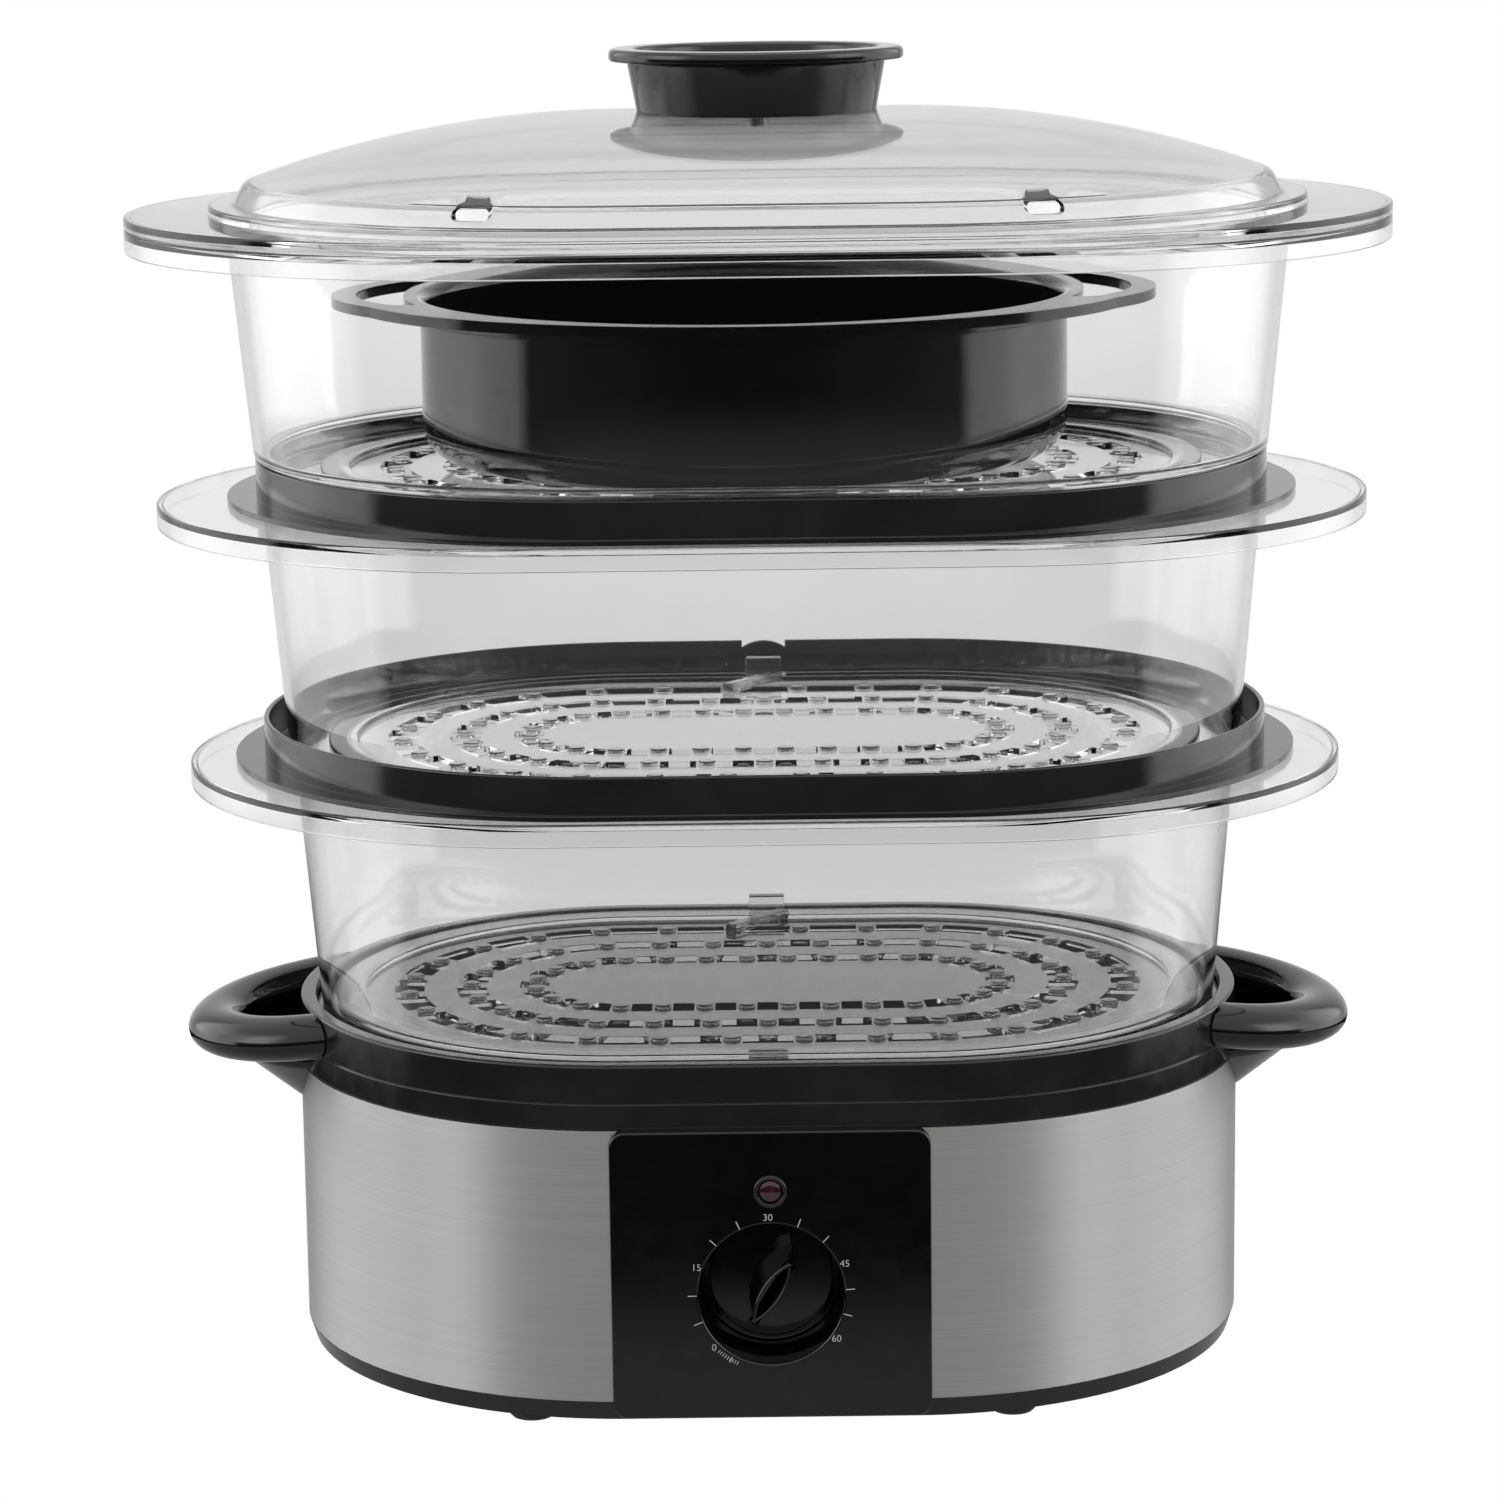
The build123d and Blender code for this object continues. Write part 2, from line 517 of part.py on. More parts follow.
# ---------------------------------------------------------------- water tank with its collar
with BuildPart() as water_tank:
    oval_body(
        half_section(
            (0, TANK_FLOOR_BOTTOM),
            (TANK_OUTER_RADIUS, TANK_FLOOR_BOTTOM),
            (TANK_OUTER_RADIUS, COLLAR_BOTTOM),
            (LOCATOR_RADIUS - LOCATOR_WALL, COLLAR_BOTTOM),
            (LOCATOR_RADIUS - LOCATOR_WALL, COLLAR_BOTTOM - SKIRT_DEPTH),
            (LOCATOR_RADIUS, COLLAR_BOTTOM - SKIRT_DEPTH),
            (LOCATOR_RADIUS, COLLAR_BOTTOM),
            (BASE_RADIUS, COLLAR_BOTTOM),
            (BASE_RADIUS, COLLAR_STEP),
            (BASE_RADIUS - COLLAR_STEP_IN, COLLAR_STEP),
            (BASE_RADIUS - COLLAR_STEP_IN, COLLAR_TOP - COLLAR_EDGE),
            (BASE_RADIUS - COLLAR_STEP_IN - COLLAR_EDGE, COLLAR_TOP),
            (COLLAR_INNER_RADIUS, COLLAR_TOP),
            (COLLAR_INNER_RADIUS, LEDGE_TOP),
            (COLLAR_INNER_RADIUS - LEDGE_WIDTH, LEDGE_TOP),
            (COLLAR_INNER_RADIUS - LEDGE_WIDTH, LEDGE_TOP - LEDGE_THICKNESS),
            (COLLAR_INNER_RADIUS, LEDGE_TOP - LEDGE_THICKNESS),
            (COLLAR_INNER_RADIUS, SHOULDER_TOP),
            (TANK_RADIUS, SHOULDER_TOP),
            (TANK_RADIUS, TANK_FLOOR_TOP),
            (0, TANK_FLOOR_TOP),
        )
    )
    with Locations(*[(x, y, PILLAR_FOOT) for x, y in bottom_screw_points]):
        Cylinder(PILLAR_RADIUS, TANK_FLOOR_BOTTOM - PILLAR_FOOT, align=ON_FLOOR)
    screw_holes(bottom_screw_places, BOTTOM_SCREW_LENGTH)
    with PolarLocations(CLAMP_SCREW_RING, 3, start_angle=90):
        with Locations((0, 0, FLANGE_BOTTOM)):
            Cylinder(CLAMP_BOSS_RADIUS, TANK_FLOOR_BOTTOM - FLANGE_BOTTOM, align=ON_FLOOR)
    screw_holes(clamp_screw_places, CLAMP_SCREW_LENGTH)
    with Locations((0, 0, TANK_FLOOR_BOTTOM)):
        Cylinder(HEATER_RADIUS + HEATER_HOLE_GAP, TANK_FLOOR_THICKNESS, align=ON_FLOOR, mode=Mode.SUBTRACT)
    # Water poured into the spouts beside the collar runs in through a slot at each end.
    for side in (-1, 1):
        screw_holes(handle_screw_places[side], HANDLE_SCREW_LENGTH, 2 * HEAD_HEIGHT)
        with Locations((side * (HALF_STRAIGHT + BASE_RADIUS), 0, SHOULDER_TOP)):
            Box(
                2 * (BASE_RADIUS - COLLAR_INNER_RADIUS) + HEAD_HEIGHT,
                2 * INLET_HALF_WIDTH,
                INLET_HEIGHT,
                align=ON_FLOOR,
                mode=Mode.SUBTRACT,
            )
        screw_holes(spout_screw_places[side], HANDLE_SCREW_LENGTH)

# ---------------------------------------------------------------- carrying handles and fill spouts
handle_rings = {}
for side in (-1, 1):
    ring_plane = Plane(
        origin=(side * HANDLE_CENTRE_X, 0, HANDLE_CENTRE_Z), z_dir=(side * sin(radians(HANDLE_DROOP)), 0, 1)
    )
    section_plane = Plane(origin=ring_plane.origin, x_dir=(0, 1, 0), z_dir=ring_plane.x_dir)
    with BuildPart() as handle_ring:
        with BuildSketch(section_plane):
            with Locations((HANDLE_RING_RADIUS, 0)):
                Ellipse(HANDLE_HALF_WIDTH, HANDLE_HALF_HEIGHT)
        revolve(axis=Axis(ring_plane.origin, ring_plane.z_dir))
    handle_rings[side] = handle_ring.part

handles = {}
spouts = {}
for side in (-1, 1):
    with BuildPart() as handle:
        add(handle_rings[side])
        oval_prism(
            HALF_STRAIGHT + BASE_RADIUS, BASE_RADIUS, 0, COLLAR_TOP + HANDLE_CENTRE_Z, mode=Mode.SUBTRACT
        )
        screw_holes(handle_screw_places[side], HANDLE_SCREW_LENGTH)
    handles[side] = handle

    with BuildPart() as spout:
        with Locations((side * HANDLE_CENTRE_X, 0, SPOUT_BOTTOM)):
            Cone(SPOUT_BOTTOM_RADIUS, SPOUT_TOP_RADIUS, SPOUT_SHOULDER - SPOUT_BOTTOM, align=ON_FLOOR)
        with Locations((side * HANDLE_CENTRE_X, 0, SPOUT_SHOULDER)):
            Cylinder(SPOUT_TOP_RADIUS, SPOUT_TOP - SPOUT_SHOULDER, align=ON_FLOOR)
        # hollow behind the steel band, and a shallow dish on top that leads to the inlet
        with Locations((side * HANDLE_CENTRE_X, 0, SPOUT_BOTTOM + SPOUT_WALL)):
            Cone(
                SPOUT_BOTTOM_RADIUS - SPOUT_WALL / 2,
                SPOUT_TOP_RADIUS - SPOUT_WALL * 2,
                SPOUT_SHOULDER - SPOUT_BOTTOM - SPOUT_WALL,
                align=ON_FLOOR,
                mode=Mode.SUBTRACT,
            )
        with Locations((side * HANDLE_CENTRE_X, 0, SHOULDER_TOP)):
            Cylinder(
                SPOUT_TOP_RADIUS - SPOUT_WALL, SPOUT_TOP - SHOULDER_TOP, align=ON_FLOOR, mode=Mode.SUBTRACT
            )
        with Locations(*spout_screw_places[side]):
            Cylinder(SPOUT_BOSS_RADIUS, HANDLE_SCREW_LENGTH, align=ON_FLOOR)
        oval_prism(HALF_STRAIGHT + BASE_RADIUS, BASE_RADIUS, 0, COLLAR_TOP, mode=Mode.SUBTRACT)
        screw_holes(spout_screw_places[side], HANDLE_SCREW_LENGTH)
        add(handle_rings[side], mode=Mode.SUBTRACT)
    spouts[side] = spout

with BuildPart() as handle_screws:
    for side in (-1, 1):
        pan_screws(handle_screw_places[side] + spout_screw_places[side], HANDLE_SCREW_LENGTH)

# ---------------------------------------------------------------- control panel
with BuildPart() as control_panel:
    with BuildSketch(Plane.XZ.offset(BASE_RADIUS)) as panel_face:
        with Locations((0, (PANEL_BOTTOM + PANEL_TOP) / 2)):
            RectangleRounded(2 * PANEL_HALF_WIDTH, PANEL_TOP - PANEL_BOTTOM, PANEL_CORNER)
    extrude(amount=PANEL_THICKNESS)
    chamfer(control_panel.faces().sort_by(Axis.Y)[0].edges(), PANEL_EDGE)
    # frame that fills the window in the band
    with BuildSketch(Plane.XZ.offset(BASE_RADIUS)):
        with Locations((0, (WINDOW_BOTTOM + WINDOW_TOP) / 2)):
            Rectangle(2 * (WINDOW_HALF_WIDTH - SLIP_GAP), WINDOW_TOP - WINDOW_BOTTOM - 2 * SLIP_GAP)
            Rectangle(
                2 * (WINDOW_HALF_WIDTH - SLIP_GAP - FRAME_WALL),
                WINDOW_TOP - WINDOW_BOTTOM - 2 * (SLIP_GAP + FRAME_WALL),
                mode=Mode.SUBTRACT,
            )
    extrude(amount=-FRAME_DEPTH)
    # cup of the dial, sunk into the base
    with BuildSketch(Plane.XZ.offset(TIMER_FRONT)):
        with Locations((0, DIAL_Z)):
            Circle(WELL_RADIUS + WELL_WALL)
    extrude(amount=BASE_RADIUS - TIMER_FRONT)
    with BuildSketch(Plane.XZ.offset(WELL_FLOOR)):
        with Locations((0, DIAL_Z)):
            Circle(WELL_RADIUS)
    extrude(amount=WELL_DEPTH, mode=Mode.SUBTRACT)
    with Locations(panel_place(0, DIAL_Z, WELL_FLOOR)):
        Cylinder(SPINDLE_RADIUS + SLIP_GAP, WELL_WALL, align=ON_FLOOR, mode=Mode.SUBTRACT)
    screw_holes(timer_screw_places, TIMER_SCREW_LENGTH)
    with Locations(panel_place(0, LAMP_Z, PANEL_FACE)):
        Cylinder(LAMP_RADIUS + BEZEL_WALL, PANEL_THICKNESS, align=ON_FLOOR, mode=Mode.SUBTRACT)
    well_mouth = control_panel.edges().filter_by(GeomType.CIRCLE).group_by(Axis.Y)[0]
    chamfer(well_mouth.sort_by(SortBy.RADIUS)[-1:], WELL_EDGE)

# ---------------------------------------------------------------- indicator lamp
with BuildPart() as indicator_bezel:
    with Locations(panel_place(0, LAMP_Z, PANEL_FACE)):
        Cylinder(LAMP_RADIUS + BEZEL_WALL, BEZEL_DEPTH, align=ON_FLOOR)
        Cylinder(BEZEL_FLANGE_RADIUS, BEZEL_FLANGE, align=UNDER_TOP)
    with Locations(panel_place(0, LAMP_Z, PANEL_FACE + BEZEL_FLANGE)):
        Cylinder(LAMP_RADIUS, BEZEL_FLANGE + BEZEL_DEPTH, align=ON_FLOOR, mode=Mode.SUBTRACT)

with BuildPart() as indicator_lens:
    with Locations(panel_place(0, LAMP_Z, PANEL_FACE + BEZEL_FLANGE / 2)):
        Cylinder(LAMP_RADIUS, LENS_DEPTH, align=ON_FLOOR)
    chamfer(indicator_lens.edges().group_by(Axis.Y)[0], BEZEL_FLANGE / 2)

with BuildPart() as indicator_bulb:
    with Locations(panel_place(0, LAMP_Z, PANEL_FACE + BEZEL_FLANGE / 2 - LENS_DEPTH)):
        Cylinder(BULB_RADIUS, BULB_LENGTH, align=ON_FLOOR)
    fillet(indicator_bulb.edges().group_by(Axis.Y)[0], BULB_RADIUS / 2)

# ---------------------------------------------------------------- clockwork timer and its knob
with BuildPart() as timer_body:
    with BuildSketch(Plane.XZ.offset(TIMER_FRONT)):
        with Locations((0, DIAL_Z)):
            RectangleRounded(TIMER_WIDTH, TIMER_HEIGHT, TIMER_CORNER)
    extrude(amount=-TIMER_DEPTH)
    with Locations(panel_place(0, DIAL_Z, TIMER_FRONT)):
        Cylinder(SPINDLE_RADIUS + SPINDLE_FIT, SPINDLE_IN_TIMER + SLIP_GAP, align=ON_FLOOR, mode=Mode.SUBTRACT)
    screw_holes(timer_screw_places, TIMER_SCREW_LENGTH)

with BuildPart() as timer_screws:
    pan_screws(timer_screw_places, TIMER_SCREW_LENGTH)

with BuildPart() as timer_bell:
    with Locations(panel_place(0, DIAL_Z, TIMER_FRONT - TIMER_DEPTH)):
        Cylinder(BELL_POST_RADIUS, BELL_DEPTH, align=ON_FLOOR)
    with Locations(panel_place(0, DIAL_Z, TIMER_FRONT - TIMER_DEPTH - BELL_WALL)):
        Cylinder(BELL_RADIUS, BELL_DEPTH, align=ON_FLOOR)
        Cylinder(BELL_RADIUS - BELL_WALL, BELL_DEPTH - BELL_WALL, align=ON_FLOOR, mode=Mode.SUBTRACT)
    with Locations(panel_place(0, DIAL_Z, TIMER_FRONT - TIMER_DEPTH)):
        Cylinder(BELL_POST_RADIUS, BELL_DEPTH, align=ON_FLOOR)

with BuildPart() as timer_knob:
    with BuildSketch(Plane.XZ.offset(KNOB_FACE - KNOB_THICKNESS)):
        with Locations((0, DIAL_Z)):
            Circle(KNOB_RADIUS)
    extrude(amount=KNOB_THICKNESS)
    chamfer(timer_knob.faces().sort_by(Axis.Y)[0].edges(), KNOB_EDGE)
    with Locations(panel_place(0, DIAL_Z, KNOB_FACE - KNOB_THICKNESS)):
        Cylinder(KNOB_HUB_RADIUS, KNOB_HUB_DEPTH, align=ON_FLOOR)
    grip_plane = Plane(
        origin=(0, -KNOB_FACE, DIAL_Z),
        x_dir=(cos(radians(GRIP_ANGLE)), 0, -sin(radians(GRIP_ANGLE))),
        z_dir=(0, -1, 0),
    )
    # the grip is a pointed oval that narrows towards the panel's face
    for rise, length, width in (
        (0, GRIP_LENGTH, GRIP_WIDTH),
        (GRIP_HEIGHT, GRIP_TOP_LENGTH, GRIP_TOP_WIDTH),
    ):
        with BuildSketch(grip_plane.offset(rise)):
            with BuildLine():
                ThreePointArc((0, -length / 2), (width / 2, 0), (0, length / 2))
                ThreePointArc((0, length / 2), (-width / 2, 0), (0, -length / 2))
            make_face()
    loft(ruled=True)
    chamfer(timer_knob.faces().sort_by(Axis.Y)[0].edges(), GRIP_EDGE)
    with Locations(panel_place(0, DIAL_Z, KNOB_FACE - KNOB_THICKNESS - KNOB_HUB_DEPTH + SPINDLE_IN_KNOB)):
        Cylinder(SPINDLE_RADIUS, SPINDLE_IN_KNOB, align=ON_FLOOR, mode=Mode.SUBTRACT)

with BuildPart() as timer_spindle:
    with Locations(panel_place(0, DIAL_Z, KNOB_FACE - KNOB_THICKNESS - KNOB_HUB_DEPTH + SPINDLE_IN_KNOB)):
        Cylinder(
            SPINDLE_RADIUS,
            KNOB_FACE - KNOB_THICKNESS - KNOB_HUB_DEPTH + SPINDLE_IN_KNOB - TIMER_FRONT + SPINDLE_IN_TIMER,
            align=ON_FLOOR,
        )

# ---------------------------------------------------------------- heater under the tank
with BuildPart() as heater_plate:
    with Locations((0, 0, HEATER_UNDERSIDE)):
        Cylinder(HEATER_RADIUS, HEATER_DISC, align=ON_FLOOR)
    ring_prism(HEATER_RADIUS, HEATER_RADIUS - HEATER_SKIRT, FLANGE_BOTTOM, HEATER_UNDERSIDE)
    ring_prism(HEATER_FLANGE_RADIUS, HEATER_RADIUS - HEATER_SKIRT, FLANGE_BOTTOM, FLANGE_TOP)
    chamfer(heater_plate.faces().sort_by(Axis.Z)[-1].edges(), HEATER_RISE / 2)

with BuildPart() as heater_seal:
    ring_prism(HEATER_FLANGE_RADIUS, HEATER_RADIUS, FLANGE_TOP, TANK_FLOOR_BOTTOM)

with BuildPart() as heating_element:
    element_z = HEATER_UNDERSIDE - ELEMENT_RADIUS
    with BuildSketch(Plane.XZ.rotated((0, 0, ELEMENT_GAP_ANGLE / 2))):
        with Locations((ELEMENT_RING_RADIUS, element_z)):
            Circle(ELEMENT_RADIUS)
    revolve(axis=Axis.Z, revolution_arc=360 - ELEMENT_GAP_ANGLE)
    leg_ends = [
        (ELEMENT_RING_RADIUS * cos(radians(turn)), ELEMENT_RING_RADIUS * sin(radians(turn)))
        for turn in (ELEMENT_GAP_ANGLE / 2, -ELEMENT_GAP_ANGLE / 2)
    ]
    with Locations(*[(x, y, element_z) for x, y in leg_ends]):
        Sphere(ELEMENT_RADIUS)
        Cylinder(ELEMENT_RADIUS, element_z - ELEMENT_LEG_END, align=UNDER_TOP)

with BuildPart() as heater_clamp:
    ring_prism(CLAMP_RADIUS, HEATER_FLANGE_RADIUS - CLAMP_OVERLAP, CLAMP_BOTTOM, FLANGE_BOTTOM)
    screw_holes(clamp_screw_places, CLAMP_SCREW_LENGTH)

with BuildPart() as clamp_screws:
    pan_screws(clamp_screw_places, CLAMP_SCREW_LENGTH)

with BuildPart() as thermostat:
    with Locations((0, 0, HEATER_UNDERSIDE)):
        Cylinder(THERMOSTAT_RADIUS, THERMOSTAT_HEIGHT, align=UNDER_TOP)
    chamfer(thermostat.edges().group_by(Axis.Z)[0], HEATER_RISE / 2)

with BuildPart() as thermal_fuse:
    with Locations(facing(-FUSE_LENGTH / 2, FUSE_Y, HEATER_UNDERSIDE - FUSE_RADIUS, (1, 0, 0))):
        Cylinder(FUSE_RADIUS, FUSE_LENGTH, align=ON_FLOOR)

with BuildPart() as steam_ring:
    ring_prism(
        STEAM_RING_RADIUS, STEAM_RING_RADIUS - STEAM_RING_WALL, TANK_FLOOR_TOP + SEAT_GAP, STEAM_RING_TOP
    )
    # arches at the foot let the water in
    for turn in (0, 90):
        with BuildSketch(Plane.XZ.rotated((0, 0, turn))):
            with Locations((0, TANK_FLOOR_TOP + STEAM_ARCH_HEIGHT / 2)):
                Rectangle(2 * STEAM_ARCH_HALF_WIDTH, STEAM_ARCH_HEIGHT)
        extrude(amount=2 * STEAM_RING_RADIUS, both=True, mode=Mode.SUBTRACT)

# ---------------------------------------------------------------- mains connection
with BuildPart() as terminal_block:
    with Locations((TERMINAL_X, TERMINAL_Y, PLATE_TOP)):
        Box(TERMINAL_WIDTH, TERMINAL_DEPTH, TERMINAL_HEIGHT, align=ON_FLOOR)
    with BuildSketch(Plane.XY.offset(PLATE_TOP + TERMINAL_HEIGHT)):
        with Locations((TERMINAL_X, TERMINAL_Y)):
            with GridLocations(TERMINAL_WIDTH / 3, TERMINAL_DEPTH / 2, 3, 2):
                Circle(TERMINAL_HOLE_RADIUS)
    extrude(amount=-TERMINAL_HEIGHT / 2, mode=Mode.SUBTRACT)

with BuildPart() as cord_gland:
    with Locations(facing(GLAND_X, BASE_RADIUS, GLAND_Z, (0, 1, 0))):
        Cylinder(GLAND_FLANGE_RADIUS, GLAND_FLANGE, align=ON_FLOOR)
        Cylinder(GLAND_RADIUS, BAND_THICKNESS, align=UNDER_TOP)
    with Locations(facing(GLAND_X, BAND_INNER_RADIUS, GLAND_Z, (0, 1, 0))):
        Cylinder(GLAND_FLANGE_RADIUS, GLAND_FLANGE, align=UNDER_TOP)
    chamfer(cord_gland.edges().group_by(Axis.Y)[-1], GLAND_FLANGE / 3)
    with Locations(facing(GLAND_X, BASE_RADIUS + GLAND_FLANGE, GLAND_Z, (0, 1, 0))):
        Cylinder(
            GLAND_BORE_RADIUS,
            BAND_THICKNESS + 2 * GLAND_FLANGE,
            align=UNDER_TOP,
            mode=Mode.SUBTRACT,
        )

# ---------------------------------------------------------------- drip tray
with BuildPart() as drip_tray:
    oval_body(
        half_section(
            (CHIMNEY_RADIUS - TRAY_WALL, TRAY_FLOOR),
            (TRAY_RADIUS, TRAY_FLOOR),
            (TRAY_RADIUS, TRAY_RIM_BOTTOM),
            (COLLAR_INNER_RADIUS - SLIP_GAP, TRAY_RIM_BOTTOM),
            (COLLAR_INNER_RADIUS - SLIP_GAP, TRAY_RIM_TOP),
            (TRAY_RADIUS - TRAY_WALL, TRAY_RIM_TOP),
            (TRAY_RADIUS - TRAY_WALL, TRAY_FLOOR + TRAY_WALL),
            (CHIMNEY_RADIUS, TRAY_FLOOR + TRAY_WALL),
            (CHIMNEY_RADIUS, CHIMNEY_TOP),
            (CHIMNEY_RADIUS - TRAY_WALL, CHIMNEY_TOP),
        )
    )


# ---------------------------------------------------------------- clear baskets
def end_flange(half_length, half_depth, skirt_height, top, hole_radius):
    """A flat flange that reaches far out at the ends, with a skirt along its edge."""
    oval_prism(half_length, half_depth, top - skirt_height, top)
    oval_prism(
        half_length - SKIRT_WALL,
        half_depth - SKIRT_WALL,
        top - skirt_height,
        top - CLEAR_WALL,
        mode=Mode.SUBTRACT,
    )
    oval_prism(HALF_STRAIGHT + hole_radius, hole_radius, top - skirt_height, top, mode=Mode.SUBTRACT)


def basket(bottom, radius, flange_half_length):
    """Flared clear wall, a ledge round the foot for the slotted floor and a flange on top."""
    top = bottom + BASKET_HEIGHT
    top_radius = radius + BASKET_FLARE
    end_flange(flange_half_length, FLANGE_HALF_DEPTH, SKIRT_HEIGHT, top, top_radius - CLEAR_WALL)
    oval_body(
        half_section(
            (FLOOR_LEDGE_RADIUS, bottom),
            (radius, bottom),
            (top_radius, top),
            (top_radius - CLEAR_WALL, top),
            (radius - CLEAR_WALL, bottom + LEDGE_PLATE),
            (FLOOR_LEDGE_RADIUS, bottom + LEDGE_PLATE),
        )
    )


with BuildPart() as basket_1:
    basket(BASKET_1_BOTTOM, BASKET_1_RADIUS, FLANGE_1_HALF_LENGTH)

with BuildPart() as basket_2:
    basket(BASKET_2_BOTTOM, BASKET_2_RADIUS, FLANGE_2_HALF_LENGTH)

with BuildPart() as basket_3:
    end_flange(
        FLANGE_3_HALF_LENGTH,
        FLANGE_3_HALF_DEPTH,
        SKIRT_HEIGHT,
        BASKET_3_TOP,
        BASKET_3_RADIUS + BASKET_FLARE - CLEAR_WALL,
    )
    # the foot drops inside the joint ring's collar, and the shelf above it rests on the collar
    oval_body(
        half_section(
            (FLOOR_LEDGE_RADIUS, BASKET_3_BOTTOM),
            (BASKET_3_FOOT_RADIUS, BASKET_3_BOTTOM),
            (BASKET_3_FOOT_RADIUS, BASKET_3_SHELF),
            (BASKET_3_RADIUS, BASKET_3_SHELF),
            (BASKET_3_RADIUS + BASKET_FLARE, BASKET_3_TOP),
            (BASKET_3_RADIUS + BASKET_FLARE - CLEAR_WALL, BASKET_3_TOP),
            (BASKET_3_RADIUS - CLEAR_WALL, BASKET_3_SHELF + CLEAR_WALL),
            (BASKET_3_FOOT_RADIUS - CLEAR_WALL, BASKET_3_SHELF + CLEAR_WALL),
            (BASKET_3_FOOT_RADIUS - CLEAR_WALL, BASKET_3_BOTTOM + LEDGE_PLATE),
            (FLOOR_LEDGE_RADIUS, BASKET_3_BOTTOM + LEDGE_PLATE),
        )
    )


# ---------------------------------------------------------------- slotted floors
def oval_places(radius, count, turn):
    """Evenly spaced (x, y, heading) places round a stadium, counted from the middle of its back."""
    curve = pi * radius
    round_trip = 4 * HALF_STRAIGHT + 2 * curve
    places = []
    for index in range(count):
        along = ((index + turn) * round_trip / count) % round_trip
        half_trip = round_trip / 2
        flip = 1 if along < half_trip else -1
        along = (along % half_trip) - HALF_STRAIGHT
        if along < 0:
            x, y, heading = along + HALF_STRAIGHT, radius, 0.0
        elif along < curve:
            angle = along / radius
            x, y, heading = HALF_STRAIGHT + radius * sin(angle), radius * cos(angle), -degrees(angle)
        else:
            x, y, heading = HALF_STRAIGHT - (along - curve), -radius, 180.0
        places.append((flip * x, flip * y, heading))
    return places


def slotted_floor(basket_bottom, catch_height):
    """Clip-in floor: a slotted plate inside the basket's ledge, and a rim that lies on the ledge."""
    plate_bottom = basket_bottom + FLOOR_LIFT
    plate_top = plate_bottom + FLOOR_PLATE
    rim_bottom = basket_bottom + LEDGE_PLATE
    rim_top = rim_bottom + FLOOR_PLATE
    rim_inner = FLOOR_RIM_RADIUS - FLOOR_RIM_WIDTH
    plate_radius = FLOOR_LEDGE_RADIUS - SLIP_GAP
    oval_prism(HALF_STRAIGHT + plate_radius, plate_radius, plate_bottom, plate_top)
    oval_prism(HALF_STRAIGHT + FLOOR_RIM_RADIUS, FLOOR_RIM_RADIUS, rim_bottom, rim_top)
    oval_prism(HALF_STRAIGHT + rim_inner, rim_inner, plate_top, rim_top, mode=Mode.SUBTRACT)
    for radius, turn in zip(SLOT_RING_RADII, SLOT_RING_TURNS):
        outer = radius + SLOT_WIDTH / 2
        inner = radius - SLOT_WIDTH / 2
        bridges = [
            Location((x, y, 0), (0, 0, heading)) for x, y, heading in oval_places(radius, BRIDGES, turn)
        ]
        with BuildSketch(Plane.XY.offset(plate_bottom)) as slots:
            SlotOverall(2 * (HALF_STRAIGHT + outer), 2 * outer)
            SlotOverall(2 * (HALF_STRAIGHT + inner), 2 * inner, mode=Mode.SUBTRACT)
            with Locations(*bridges):
                Rectangle(BRIDGE_WIDTH, 2 * SLOT_WIDTH, mode=Mode.SUBTRACT)
        extrude(slots.sketch, amount=FLOOR_PLATE, mode=Mode.SUBTRACT)
        with BuildSketch(Plane.XY.offset(plate_bottom)) as pins:
            with Locations(*bridges):
                Circle(PIN_RADIUS)
        extrude(pins.sketch, amount=FLOOR_PLATE + PIN_HEIGHT)
    with BuildSketch(Plane.XY.offset(plate_top)) as emblem:
        Ellipse(EMBLEM_HALF_LENGTH, EMBLEM_HALF_DEPTH)
        Ellipse(EMBLEM_HALF_LENGTH - EMBLEM_LINE, EMBLEM_HALF_DEPTH - EMBLEM_LINE, mode=Mode.SUBTRACT)
    extrude(emblem.sketch, amount=EMBLEM_HEIGHT)
    # the catch at the back with its slanting rib, and a low catch at the front
    with Locations((0, FLOOR_RIM_RADIUS - CLIP_DEPTH / 2, rim_bottom)):
        Box(CLIP_WIDTH, CLIP_DEPTH, catch_height, align=ON_FLOOR)
    with Locations((0, -FLOOR_RIM_RADIUS + CLIP_DEPTH / 2, rim_bottom)):
        Box(CLIP_WIDTH, CLIP_DEPTH, LOW_CLIP_HEIGHT, align=ON_FLOOR)
    rib_turn = radians(CLIP_RIB_ANGLE)
    rib_x = CLIP_WIDTH / 2 - CLIP_RIB_LENGTH / 2 * cos(rib_turn)
    rib_y = FLOOR_RIM_RADIUS - CLIP_DEPTH - CLIP_RIB_LENGTH / 2 * sin(rib_turn)
    with Locations(Location((rib_x, rib_y, rim_bottom), (0, 0, CLIP_RIB_ANGLE))):
        Box(CLIP_RIB_LENGTH, CLIP_RIB_WIDTH, LOW_CLIP_HEIGHT, align=ON_FLOOR)


with BuildPart() as floor_1:
    slotted_floor(BASKET_1_BOTTOM, CLIP_HEIGHT)

with BuildPart() as floor_2:
    slotted_floor(BASKET_2_BOTTOM, CLIP_HEIGHT)

# the top floor's catch is low, so that the rice bowl stands over it
with BuildPart() as floor_3:
    slotted_floor(BASKET_3_BOTTOM, LOW_CLIP_HEIGHT)


